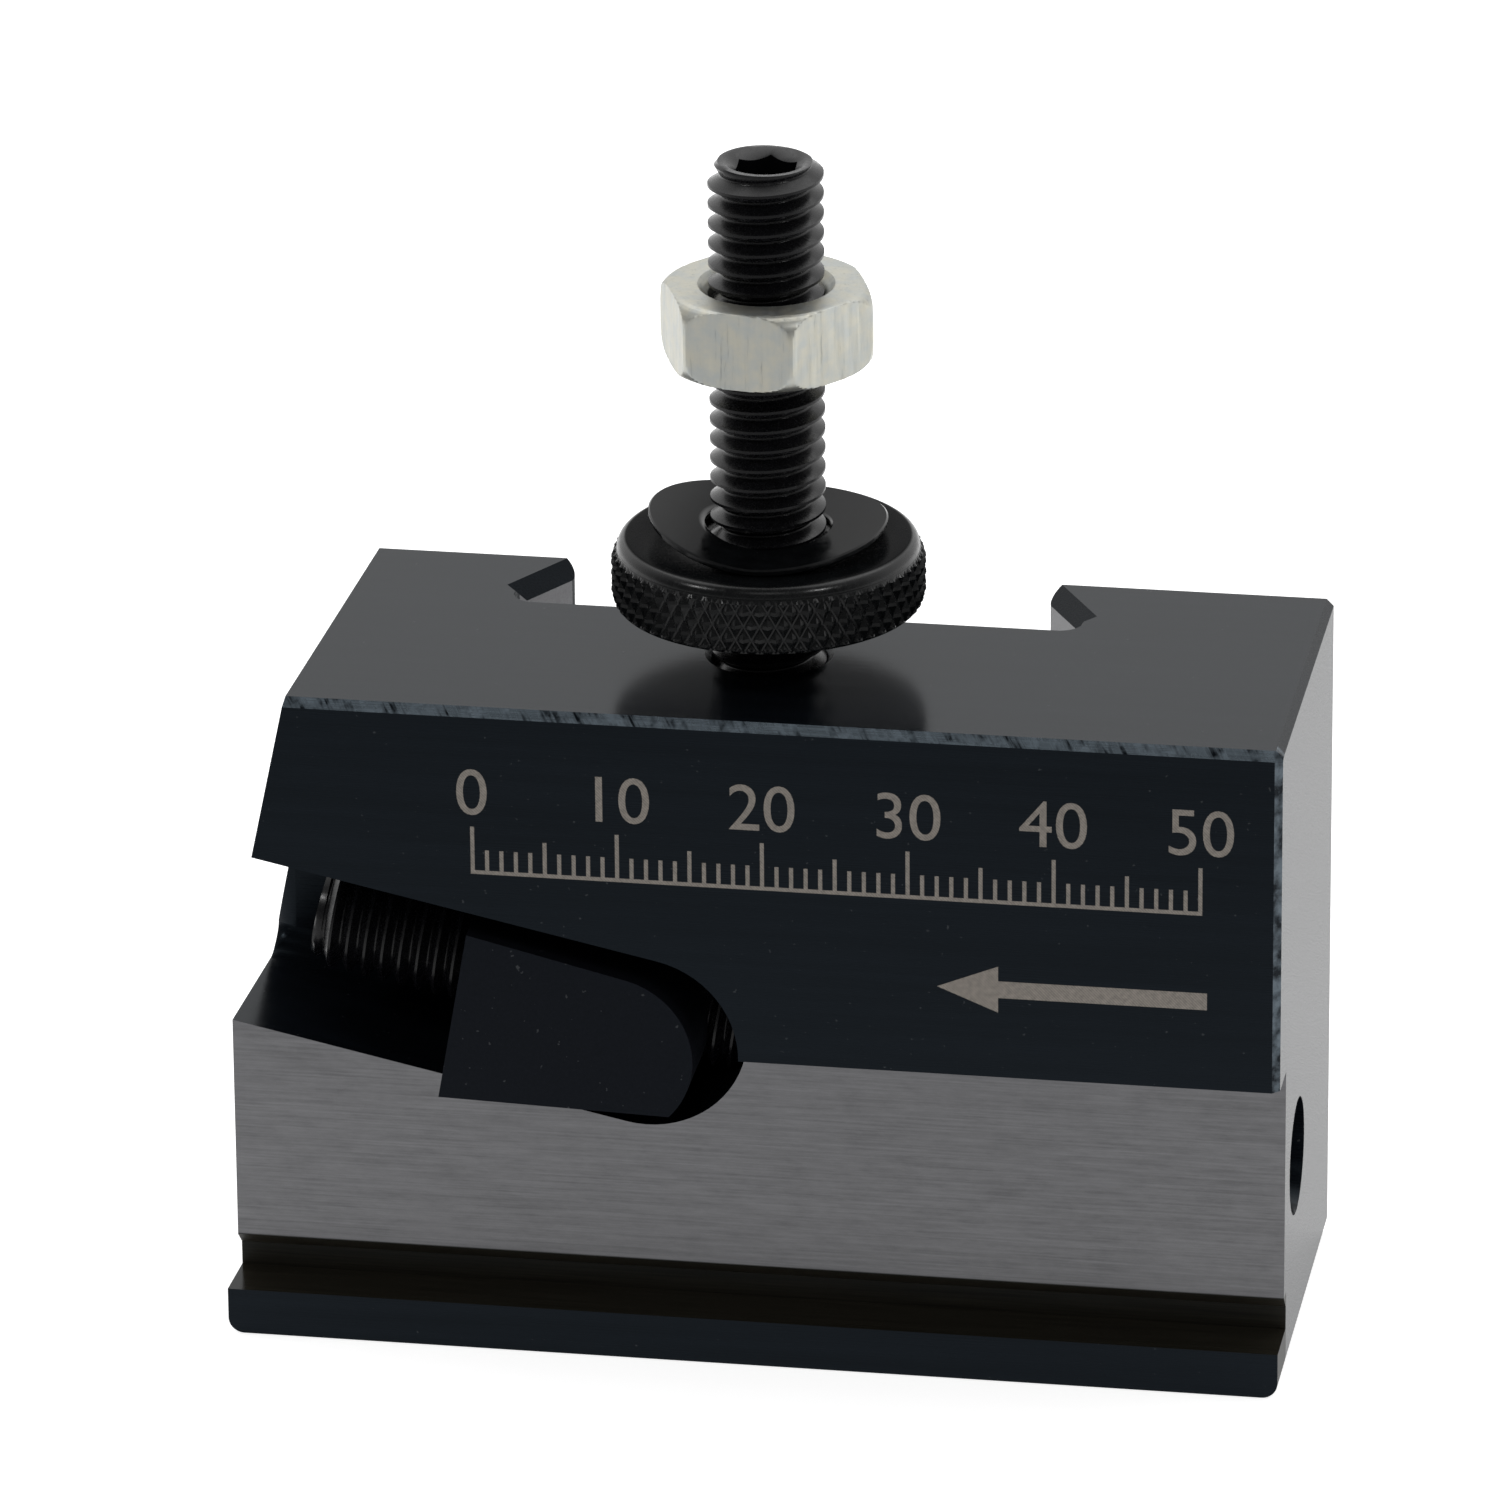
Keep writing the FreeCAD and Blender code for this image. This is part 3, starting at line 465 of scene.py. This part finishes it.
def oiled_black_oxide(name, tint, rough, grain, flats=1.42):
    """Turned and blackened steel with an oil film: near black, glossy, with faint cutting marks.

    Rounded edges that face up have been polished by handling and mirror most. Level faces have the IOR
    that flats gives.
    """
    material, tree = new_material(name)
    place = millimetres(tree)
    upward = normal_parts(tree)[2]
    level_sheen = add_node(tree, "MapRange", {0: upward, 1: 0.98, 2: 0.90, 3: flats, 4: 1.42})
    side_sheen = add_node(tree, "MapRange", {0: upward, 1: 0.1, 2: 0.3, 3: 1.28, 4: 1.42})
    sheen = add_node(tree, "Math", {0: level_sheen, 1: side_sheen}, operation="MINIMUM")
    fine = add_node(tree, "TexNoise", {"Vector": place, "Scale": grain, "Detail": 4.0, "Roughness": 0.6})
    broad = add_node(tree, "TexNoise", {"Vector": place, "Scale": 0.7, "Detail": 2.0, "Roughness": 0.55})
    share = add_node(tree, "MapRange", {0: broad, 1: 0.3, 2: 0.7})
    base = add_node(tree, "Mix", {0: share, 6: rgba(tint), 7: rgba(tint, 1.8)}, data_type="RGBA")
    gloss = add_node(tree, "MapRange", {0: fine, 1: 0.3, 2: 0.7, 3: rough - 0.06, 4: rough + 0.10})
    bumps = add_node(tree, "Bump", {"Height": fine, "Distance": 0.006 * MM, "Strength": 0.4})
    shader = add_node(tree, "BsdfPrincipled", {
        "Base Color": base, "Metallic": 0.0, "Roughness": gloss, "IOR": sheen, "Normal": bumps,
    })
    add_node(tree, "OutputMaterial", {"Surface": shader})
    return material


def matte_black_oxide(finish):
    """Blackened steel left as milled: dull, near black, with pale dust specks."""
    material, tree = new_material("matte_black_oxide_steel")
    place = millimetres(tree)
    grain = add_node(tree, "TexNoise", {"Vector": place, "Scale": 4.5, "Detail": 5.0, "Roughness": 0.65})
    share = add_node(tree, "MapRange", {0: grain, 1: 0.3, 2: 0.7})
    base = add_node(tree, "Mix", {0: share, 6: rgba(finish.clamp), 7: rgba(finish.clamp, 1.7)},
                    data_type="RGBA")
    specks = add_node(tree, "TexNoise", {"Vector": place, "Scale": 2.2, "Detail": 2.0, "Roughness": 0.4})
    share = add_node(tree, "MapRange", {0: specks, 1: 0.735, 2: 0.77, 4: 0.12})
    base = add_node(tree, "Mix", {0: share, 6: base, 7: rgba(srgb("#8f9294"))}, data_type="RGBA")
    gloss = add_node(tree, "MapRange", {0: grain, 1: 0.3, 2: 0.7, 3: 0.42, 4: 0.60})
    bumps = add_node(tree, "Bump", {"Height": grain, "Distance": 0.012 * MM, "Strength": 0.6})
    shader = add_node(tree, "BsdfPrincipled", {
        "Base Color": base, "Metallic": 0.0, "Roughness": gloss, "IOR": 1.17,
        "Specular Tint": rgba(finish.film), "Normal": bumps,
    })
    add_node(tree, "OutputMaterial", {"Surface": shader})
    return material


def drawn_steel(finish):
    """Drawn steel rod, left bare: fine marks along its length and a soft mirror."""
    material, tree = new_material("drawn_steel")
    grain = add_node(tree, "VectorMath", {0: millimetres(tree), 1: (3.0, 0.1, 3.0)}, operation="MULTIPLY")
    lines = add_node(tree, "TexNoise", {"Vector": grain, "Scale": 2.0, "Detail": 3.0, "Roughness": 0.55})
    gloss = add_node(tree, "MapRange", {0: lines, 1: 0.3, 2: 0.7, 3: 0.25, 4: 0.4})
    bumps = add_node(tree, "Bump", {"Height": lines, "Distance": 0.004 * MM, "Strength": 0.4})
    shader = add_node(tree, "BsdfPrincipled", {
        "Base Color": rgba(finish.bare), "Metallic": 1.0, "Roughness": gloss, "Normal": bumps,
    })
    add_node(tree, "OutputMaterial", {"Surface": shader})
    return material


def bright_zinc(finish, middle):
    """Bright zinc plate over a cold-drawn hex: drawing marks down the flats, turned rings on the ends."""
    material, tree = new_material("bright_zinc_plate")
    place = millimetres(tree)
    ring_spacing = 0.28
    centre = (middle[0] / MM, middle[1] / MM, 0)
    from_axis = add_node(tree, "VectorMath", {0: place, 1: centre}, operation="SUBTRACT")
    level_place = add_node(tree, "VectorMath", {0: from_axis, 1: (1, 1, 0)}, operation="MULTIPLY")
    radius = add_node(tree, "VectorMath", {0: level_place}, operation="LENGTH")
    turns = add_node(tree, "Math", {0: radius, 1: 2 * math.pi / ring_spacing}, operation="MULTIPLY")
    rings = add_node(tree, "Math", {0: turns}, operation="SINE")
    rings = add_node(tree, "Math", {0: rings, 1: 0.25}, operation="MULTIPLY")
    grain = add_node(tree, "VectorMath", {0: from_axis, 1: (3.4, 3.4, 0.22)}, operation="MULTIPLY")
    drawn = add_node(tree, "TexNoise", {"Vector": grain, "Scale": 1.0, "Detail": 4.0, "Roughness": 0.7})
    cloud = add_node(tree, "TexNoise", {"Vector": place, "Scale": 0.9, "Detail": 4.0, "Roughness": 0.55})
    share = add_node(tree, "MapRange", {0: cloud, 1: 0.35, 2: 0.65})
    base = add_node(tree, "Mix", {0: share, 6: rgba(finish.zinc), 7: rgba(srgb("#bfbdb1"))},
                    data_type="RGBA")
    share = add_node(tree, "MapRange", {0: drawn, 1: 0.60, 2: 0.72, 4: 0.45})
    base = add_node(tree, "Mix", {0: share, 6: base, 7: rgba(srgb("#6f7478"))}, data_type="RGBA")
    gloss = add_node(tree, "MapRange", {0: drawn, 1: 0.3, 2: 0.7, 3: 0.36, 4: 0.52})
    upward = add_node(tree, "Math", {0: normal_parts(tree)[2]}, operation="ABSOLUTE")
    on_end = add_node(tree, "MapRange", {0: upward, 1: 0.3, 2: 0.45})
    height = add_node(tree, "Mix", {0: on_end, 2: drawn, 3: rings})
    bumps = add_node(tree, "Bump", {"Height": height, "Distance": 0.02 * MM, "Strength": 0.5})
    shader = add_node(tree, "BsdfPrincipled", {
        "Base Color": base, "Metallic": 1.0, "Roughness": gloss, "Normal": bumps,
    })
    add_node(tree, "OutputMaterial", {"Surface": shader})
    return material


def laser_etching(finish):
    """Laser-etched steel: a pale grey-brown, finely hatched mark."""
    material, tree = new_material("laser_etching")
    place = millimetres(tree)
    axis = add_node(tree, "SeparateXYZ", {0: place}).outputs
    hatch_spacing = 0.22
    slanted = add_node(tree, "Math", {0: axis[0], 1: axis[2]}, operation="ADD")
    slanted = add_node(tree, "Math", {0: slanted, 1: 2 * math.pi / hatch_spacing}, operation="MULTIPLY")
    hatch = add_node(tree, "Math", {0: slanted}, operation="SINE")
    hatch = add_node(tree, "MapRange", {0: hatch, 1: -1.0, 2: 1.0, 4: 0.45})
    rough = add_node(tree, "TexNoise", {"Vector": place, "Scale": 3.0, "Detail": 3.0, "Roughness": 0.55})
    rough = add_node(tree, "MapRange", {0: rough, 1: 0.35, 2: 0.65, 4: 0.45})
    share = add_node(tree, "Math", {0: hatch, 1: rough}, operation="ADD")
    base = add_node(tree, "Mix", {0: share, 6: rgba(finish.etch), 7: rgba(finish.etch, 0.45)},
                    data_type="RGBA")
    shader = add_node(tree, "BsdfPrincipled", {"Base Color": base, "Metallic": 0.2, "Roughness": 0.55})
    add_node(tree, "OutputMaterial", {"Surface": shader})
    return material


def matte_paper(white, lit_from, lit_to):
    """Matte white paper on a light table: a faint fibre, and a glow that rises from lit_from to lit_to."""
    material, tree = new_material("matte_paper")
    place = millimetres(tree)
    fibre = add_node(tree, "TexNoise", {"Vector": place, "Scale": 1.5, "Detail": 3.0, "Roughness": 0.55})
    depth = add_node(tree, "SeparateXYZ", {0: place}).outputs[1]
    glow = add_node(tree, "MapRange", {0: depth, 1: lit_from, 2: lit_to, 4: 0.80})
    bumps = add_node(tree, "Bump", {"Height": fibre, "Distance": 0.01 * MM, "Strength": 0.2})
    shader = add_node(tree, "BsdfPrincipled", {
        "Base Color": rgba(white), "Roughness": 0.9, "Specular IOR Level": 0.1,
        "Emission Color": rgba(white), "Emission Strength": glow, "Normal": bumps,
    })
    add_node(tree, "OutputMaterial", {"Surface": shader})
    return material


# ---------------------------------------------------------------- operators
class PieceOperator:
    """What the pieces' operators share: the settings that they read."""
    bl_options = {"REGISTER", "UNDO"}

    @property
    def threads(self):
        return bpy.context.scene.holder_threads

    @property
    def nuts(self):
        return bpy.context.scene.holder_nuts

    @property
    def finish(self):
        return bpy.context.scene.holder_finish


class HOLDER_OT_block(PieceOperator, bpy.types.Operator):
    """Finish the ground and blackened block"""
    bl_idname = "holder.block"
    bl_label = "Block"

    def execute(self, context):
        block = frame["nodes"]["holder_body"]
        paint(block, ground_black_oxide(self.finish))
        soften(block, 0.12 * MM)
        return {"FINISHED"}


class HOLDER_OT_marking(PieceOperator, bpy.types.Operator):
    """Etch a plain graduated scale and an arrow on the brow"""
    bl_idname = "holder.marking"
    bl_label = "Etched marking"

    def execute(self, context):
        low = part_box("holder_body")[0]
        skin, line = 0.012 * MM, 0.28 * MM
        material = laser_etching(self.finish)

        longest = 50
        left, base = low.x + 18.0 * MM, low.z + 36.2 * MM
        vertices, faces = [], []
        for step in range(longest + 1):
            tall = (3.2 if step % 10 == 0 else 2.3 if step % 5 == 0 else 1.5) * MM
            add_plate(vertices, faces, left + step * MM, base + tall / 2, line, tall, low.y, skin)
        add_plate(vertices, faces, left + longest / 2 * MM, base - line / 2, longest * MM + line, line,
                  low.y, skin)
        scale = mesh_object("etched_scale", vertices, faces, "holder")
        paint(scale, material)

        vertices, faces = [], []
        tail, tip, level = low.x + 68.5 * MM, low.x + 50.0 * MM, low.z + 29.6 * MM
        neck, half_head, half_shaft = tip + 4.2 * MM, 1.7 * MM, 0.62 * MM
        outline = [(tip, 0), (neck, half_head), (neck, half_shaft), (tail, half_shaft),
                   (tail, -half_shaft), (neck, -half_shaft), (neck, -half_head)]
        add_prism(vertices, faces, [(x, level + z) for x, z in outline], low.y, skin)
        arrow = mesh_object("etched_arrow", vertices, faces, "holder")
        paint(arrow, material)

        number_height = 3.4 * MM
        for tens in range(longest // 10 + 1):
            add_number(f"etched_number_{tens}", str(tens * 10), left + tens * 10 * MM, base + 4.1 * MM,
                       number_height, low.y, skin, material)
        return {"FINISHED"}


def add_plate(vertices, faces, x, z, width, height, front, skin):
    """A rectangular plate about a point of the front face."""
    corners = [(x - width / 2, z - height / 2), (x + width / 2, z - height / 2),
               (x + width / 2, z + height / 2), (x - width / 2, z + height / 2)]
    add_prism(vertices, faces, corners, front, skin)


def add_prism(vertices, faces, outline, front, skin):
    """A plate on the front face, skin thick in front of it and as deep behind it."""
    start, count = len(vertices), len(outline)
    vertices.extend((x, front - skin, z) for x, z in outline)
    vertices.extend((x, front + skin, z) for x, z in outline)
    faces.append(tuple(range(start, start + count)))
    faces.append(tuple(range(start + 2 * count - 1, start + count - 1, -1)))
    for i in range(count):
        after = (i + 1) % count
        faces.append((start + i, start + after, start + count + after, start + count + i))


def add_number(name, text, x, z, height, front, skin, material):
    """A graduation's number as a thin plate. The font's digits are about 0.7 of its size high."""
    curve = bpy.data.curves.new(name, "FONT")
    curve.body = text
    curve.size = height * 1.42
    curve.align_x = "CENTER"
    curve.extrude = skin
    curve.resolution_u = 6
    letters = bpy.data.objects.new(name + "_curve", curve)
    bpy.context.scene.collection.objects.link(letters)
    bpy.context.view_layer.update()
    evaluated = letters.evaluated_get(bpy.context.evaluated_depsgraph_get())
    mesh = bpy.data.meshes.new_from_object(evaluated)
    bpy.data.objects.remove(letters)
    mesh.name = name
    mesh.transform(Matrix.Translation((x, front, z)) @ Matrix.Rotation(math.pi / 2, 4, "X"))
    plate = finish_piece(name, mesh, "holder")
    paint(plate, material)


class HOLDER_OT_clamp(PieceOperator, bpy.types.Operator):
    """Finish the wedge and its pin"""
    bl_idname = "holder.clamp"
    bl_label = "Wedge clamp"

    def execute(self, context):
        wedge = frame["nodes"]["blade_clamp"]
        paint(wedge, matte_black_oxide(self.finish))
        soften(wedge, 0.18 * MM)
        pin = frame["nodes"]["clamp_pin"]
        paint(pin, drawn_steel(self.finish))
        soften(pin, 0.1 * MM)
        return {"FINISHED"}


class HOLDER_OT_screws(PieceOperator, bpy.types.Operator):
    """Cut the threads of the height stud and of the clamp screw"""
    bl_idname = "holder.screws"
    bl_label = "Stud and clamp screw"

    def execute(self, context):
        sizes = self.threads
        smooth = math.radians(50)
        material = oiled_black_oxide("oiled_black_oxide_screws", self.finish.screws, 0.24, 3.5)
        x, y = axis_line("height_stud")
        low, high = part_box("height_stud")
        mesh = threaded_rod("stud_thread", sizes.stud_radius, sizes.stud_pitch, low.z, high.z, 0.75 * MM,
                            sizes.socket, sizes.socket_depth)
        mesh.transform(Matrix.Translation((x, y, 0)))
        stud = finish_piece("threaded_stud", mesh, "holder", smooth)
        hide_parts("height_stud")
        paint(stud, material)

        turn = joint_named("clamp_screw_turn")
        along = Vector(turn["axis"]).normalized()
        neck = (-sizes.neck_offset - sizes.neck_width / 2, -sizes.neck_offset + sizes.neck_width / 2,
                sizes.neck_radius)
        mesh = threaded_rod("screw_thread", sizes.screw_radius, sizes.screw_pitch, -sizes.screw_left,
                            sizes.screw_right, 0.9 * MM, sizes.socket, sizes.socket_depth, False, neck)
        upright = along.to_track_quat("Z", "Y").to_matrix().to_4x4()
        mesh.transform(Matrix.Translation(turn["pos_m"]) @ upright)
        screw = finish_piece("threaded_clamp_screw", mesh, "screw", smooth)
        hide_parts("clamp_screw")
        paint(screw, material)
        return {"FINISHED"}


class HOLDER_OT_thumb_nut(PieceOperator, bpy.types.Operator):
    """Knurl the height nut"""
    bl_idname = "holder.thumb_nut"
    bl_label = "Knurled height nut"

    def execute(self, context):
        sizes = self.nuts
        x, y = axis_line("thumb_nut")
        low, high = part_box("thumb_nut")
        radius = (high.x - low.x) / 2
        height = high.z - low.z
        teeth, per_tooth = sizes.knurl_teeth, 8
        tooth = 2 * math.pi * radius / teeth
        diamond = tooth / math.tan(math.radians(30))
        step = diamond / per_tooth
        foot, countersink, flat_share = 0.4 * MM, 0.5 * MM, 0.10
        shoulder, run = sizes.shoulder, sizes.shoulder_run
        rounded = [height - shoulder * (1 - math.sin(math.radians(turn))) for turn in range(0, 91, 9)]
        levels = [foot * share for share in (0.0, 0.5)]
        levels += [foot + step * i for i in range(int((rounded[0] - foot) / step) + 1)] + rounded

        def groove(phase):
            return 1 - 2 * abs(phase % 1.0 - 0.5)

        def knurled(angle, level):
            """The radius of the knurl at an angle and a height: 30 degree grooves both ways, crests cut flat."""
            turn, climb = angle / (2 * math.pi) * teeth, level / diamond
            deepest = max(1 - groove(turn + climb), 1 - groove(turn - climb))
            return radius - sizes.knurl_depth * max(deepest - flat_share, 0.0)

        def edge(level):
            """The turned outline: a small chamfer below and, above the knurl, a smooth rounded shoulder."""
            over = level - (height - shoulder)
            if over > 0:
                inwards = run * (1 - math.sqrt(max(1 - (over / shoulder) ** 2, 0.0)))
                return radius - sizes.knurl_depth - inwards
            return radius - max(foot - level, over + sizes.knurl_depth, 0.0)

        sections = []
        count = teeth * per_tooth
        mouth = sizes.bore + countersink
        for column in range(count):
            angle = 2 * math.pi * column / count
            section = [polar(mouth, angle, 0)]
            section += [polar(min(knurled(angle, level), edge(level)), angle, level) for level in levels]
            section += [polar(mouth, angle, height), polar(sizes.bore, angle, height - countersink),
                        polar(sizes.bore, angle, countersink)]
            sections.append(section)
        vertices, faces = turned(sections)
        vertices = [v + Vector((x, y, low.z)) for v in vertices]
        faces = valley_triangles(vertices, faces, Vector((x, y, 0)))
        nut = mesh_object("knurled_nut", vertices, faces, "height_nut")
        for face in nut.data.polygons:
            face.use_smooth = face.center.z > high.z - shoulder
        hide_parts("thumb_nut")
        paint(nut, oiled_black_oxide("oiled_black_oxide_knurl", self.finish.nut, 0.22, 3.0, 1.06))
        return {"FINISHED"}


def valley_triangles(vertices, faces, middle):
    """Split each four-sided face along its lower diagonal, so that grooves stay sharp."""
    def reach(index):
        offset = vertices[index] - middle
        return math.hypot(offset.x, offset.y)

    split = []
    for a, b, c, d in faces:
        if reach(a) + reach(c) < reach(b) + reach(d):
            split += [(a, b, c), (a, c, d)]
        else:
            split += [(a, b, d), (b, c, d)]
    return split


class HOLDER_OT_washer(PieceOperator, bpy.types.Operator):
    """Bend the spring washer"""
    bl_idname = "holder.washer"
    bl_label = "Curved spring washer"

    def execute(self, context):
        sizes = self.nuts
        x, y = axis_line("spring_washer")
        low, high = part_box("spring_washer")
        outer, inner = (high.x - low.x) / 2, sizes.washer_hole
        sheet, lip = sizes.washer_sheet, 0.12 * MM
        columns, rings = 120, 9
        across = [inner + (outer - inner) * i / (rings - 1) for i in range(rings)]

        def lifted(radius, angle, up):
            """A point of the flat washer, raised at both sides and more at the left."""
            point = polar(radius, angle, up)
            out = point.x / outer
            point.z += sizes.washer_rise * abs(out) ** 1.6 - sizes.washer_lean * out
            return point + Vector((x, y, low.z))

        sections = []
        for column in range(columns):
            angle = 2 * math.pi * column / columns
            section = [lifted(inner, angle, lip), lifted(inner, angle, sheet - lip)]
            section += [lifted(min(max(r, inner + lip), outer - lip), angle, sheet) for r in across]
            section += [lifted(outer, angle, sheet - lip), lifted(outer, angle, lip)]
            section += [lifted(min(max(r, inner + lip), outer - lip), angle, 0) for r in reversed(across)]
            sections.append(section)
        vertices, faces = turned(sections)
        washer = mesh_object("curved_washer", vertices, faces, "washer",
                             math.radians(40))
        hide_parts("spring_washer")
        material = oiled_black_oxide("smooth_black_oxide_spring", self.finish.nut, 0.16, 2.0, 1.10)
        paint(washer, material)
        return {"FINISHED"}


class HOLDER_OT_lock_nut(PieceOperator, bpy.types.Operator):
    """Turn the corners of the zinc plated jam nut"""
    bl_idname = "holder.lock_nut"
    bl_label = "Zinc plated jam nut"

    def execute(self, context):
        sizes = self.nuts
        x, y = axis_line("height_stud")
        low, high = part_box("lock_nut")
        height = high.z - low.z
        apothem = sizes.flats / 2
        face_radius = apothem * 0.955
        corner_angle = widest_angle("lock_nut", x, y)
        countersink = 0.7 * MM
        count, half_rows = 360, 16

        def barrel(level):
            """The turned outline, rounded from the end face to the corners' widest at half height."""
            off = abs(2 * level / height - 1)
            return face_radius + (sizes.corners - face_radius) * (1 - off ** 4.5) ** 0.5

        steps = [math.sin(math.pi / 2 * row / half_rows) for row in range(-half_rows, half_rows + 1)]
        levels = [height / 2 * (1 + step) for step in steps]
        sections = []
        for column in range(count):
            angle = corner_angle + 2 * math.pi * column / count
            sixth = (2 * math.pi * column / count) % (math.pi / 3) - math.pi / 6
            wall = apothem / math.cos(sixth)
            section = [polar(sizes.bore, angle, countersink), polar(sizes.bore + countersink, angle, 0)]
            section += [polar(min(wall, barrel(level)), angle, level) for level in levels]
            section += [polar(sizes.bore + countersink, angle, height),
                        polar(sizes.bore, angle, height - countersink)]
            sections.append(section)
        vertices, faces = turned(sections)
        vertices = [v + Vector((x, y, low.z)) for v in vertices]
        nut = mesh_object("plated_jam_nut", vertices, faces, "jam_nut", math.radians(16))
        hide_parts("lock_nut")
        paint(nut, bright_zinc(self.finish, (x, y)))
        return {"FINISHED"}


def widest_angle(node, x, y):
    """The angle of the node's vertex furthest from a vertical axis."""
    far = max(frame["nodes"][node].data.vertices, key=lambda v: (v.co.x - x) ** 2 + (v.co.y - y) ** 2)
    return math.atan2(far.co.y - y, far.co.x - x)


class HOLDER_OT_stage(PieceOperator, bpy.types.Operator):
    """Lay the floor, hang the lights and place the camera"""
    bl_idname = "holder.stage"
    bl_label = "Studio"

    def execute(self, context):
        studio = context.scene.holder_studio
        context.scene.view_settings.view_transform = "Standard"
        self.lay_floor(studio)
        self.light_up(context.scene)
        self.place_camera(context.scene, studio)
        return {"FINISHED"}

    def lay_floor(self, studio):
        half = 3.0
        mesh = bpy.data.meshes.new("floor")
        corners = [(-half, -half, 0), (half, -half, 0), (half, half, 0), (-half, half, 0)]
        mesh.from_pydata(corners, [], [(0, 1, 2, 3)])
        floor = bpy.data.objects.new("floor", mesh)
        bpy.context.scene.collection.objects.link(floor)
        floor.location.z = CAD_BOX[0].z - 0.05 * MM
        # The table glows by itself, from nothing at the first depth (mm) to full at the second.
        paint(floor, matte_paper(studio.floor, -150.0, -40.0))

    def light_up(self, scene):
        world = bpy.data.worlds.new("soft_room")
        world.use_nodes = True
        scene.world = world
        tree = world.node_tree
        tree.nodes.clear()
        # The room is dim in front and white behind.
        way = add_node(tree, "TexCoord").outputs["Generated"]
        depth = add_node(tree, "SeparateXYZ", {0: way}).outputs[1]
        glow = add_node(tree, "MapRange", {0: depth, 1: -0.30, 2: 0.50, 3: 0.12, 4: 1.0})
        background = add_node(tree, "Background", {"Color": (1, 1, 1, 1), "Strength": glow})
        add_node(tree, "OutputWorld", {"Surface": background})
        # name, place, aim, width, height, watts
        lamps = [
            ("overhead_softbox", (0.0, 0.30, 0.75), (0, 0.0, 0), 0.9, 0.6, 1.7),
            ("right_spot", (0.45, -0.32, 0.55), (0, 0, 0.05), 0.10, 0.10, 0.60),
            ("left_spot", (-0.45, -0.32, 0.55), (0, 0, 0.05), 0.10, 0.10, 0.60),
            ("front_fill", (0.10, -0.75, 0.80), (0, 0, 0.03), 0.4, 0.25, 0.35),
        ]
        for name, place, aim, width, height, watts in lamps:
            data = bpy.data.lights.new(name, "AREA")
            data.shape = "RECTANGLE"
            data.size, data.size_y, data.energy = width, height, watts
            lamp = bpy.data.objects.new(name, data)
            scene.collection.objects.link(lamp)
            lamp.location = place
            lamp.rotation_mode = "QUATERNION"
            lamp.rotation_quaternion = (Vector(aim) - Vector(place)).to_track_quat("-Z", "Y")

    def place_camera(self, scene, studio):
        across = Vector((math.cos(studio.azimuth), math.sin(studio.azimuth), 0))
        back = Vector((math.sin(studio.azimuth) * math.cos(studio.elevation),
                       -math.cos(studio.azimuth) * math.cos(studio.elevation), math.sin(studio.elevation)))
        up = back.cross(across)
        right = across * math.cos(studio.roll) - up * math.sin(studio.roll)
        raised = across * math.sin(studio.roll) + up * math.cos(studio.roll)
        data = bpy.data.cameras.new("camera")
        data.sensor_width = 36.0
        data.lens = studio.lens
        data.clip_start, data.clip_end = 0.01, 10.0
        camera = bpy.data.objects.new("camera", data)
        scene.collection.objects.link(camera)
        turn = Matrix((right, raised, back)).transposed().to_4x4()
        camera.matrix_world = Matrix.Translation(Vector(studio.aim) + back * studio.distance) @ turn
        scene.camera = camera


class HOLDER_PT_panel(bpy.types.Panel):
    """The holder's pieces and settings"""
    bl_idname = "HOLDER_PT_panel"
    bl_label = "Parting Blade Holder"
    bl_space_type = "VIEW_3D"
    bl_region_type = "UI"
    bl_category = "Holder"

    def draw(self, context):
        for operator in OPERATORS:
            self.layout.operator(operator.bl_idname)
        for name in SETTINGS:
            group = getattr(context.scene, name)
            box = self.layout.box()
            for key in group.__annotations__:
                box.prop(group, key)


OPERATORS = [HOLDER_OT_block, HOLDER_OT_marking, HOLDER_OT_clamp, HOLDER_OT_screws, HOLDER_OT_thumb_nut,
             HOLDER_OT_washer, HOLDER_OT_lock_nut, HOLDER_OT_stage]
SETTINGS = {"holder_threads": ThreadSettings, "holder_nuts": NutSettings, "holder_finish": FinishSettings,
            "holder_studio": StudioSettings}


def register():
    for group in SETTINGS.values():
        bpy.utils.register_class(group)
    for operator in OPERATORS:
        bpy.utils.register_class(operator)
    bpy.utils.register_class(HOLDER_PT_panel)
    for name, group in SETTINGS.items():
        setattr(bpy.types.Scene, name, PointerProperty(type=group))


def unregister():
    for name in SETTINGS:
        delattr(bpy.types.Scene, name)
    bpy.utils.unregister_class(HOLDER_PT_panel)
    for operator in reversed(OPERATORS):
        bpy.utils.unregister_class(operator)
    for group in reversed(list(SETTINGS.values())):
        bpy.utils.unregister_class(group)


def main():
    register()
    bpy.ops.holder.block()
    bpy.ops.holder.marking()
    bpy.ops.holder.clamp()
    bpy.ops.holder.screws()
    bpy.ops.holder.thumb_nut()
    bpy.ops.holder.washer()
    bpy.ops.holder.lock_nut()
    bpy.ops.holder.stage()


if __name__ == "__main__":
    main()
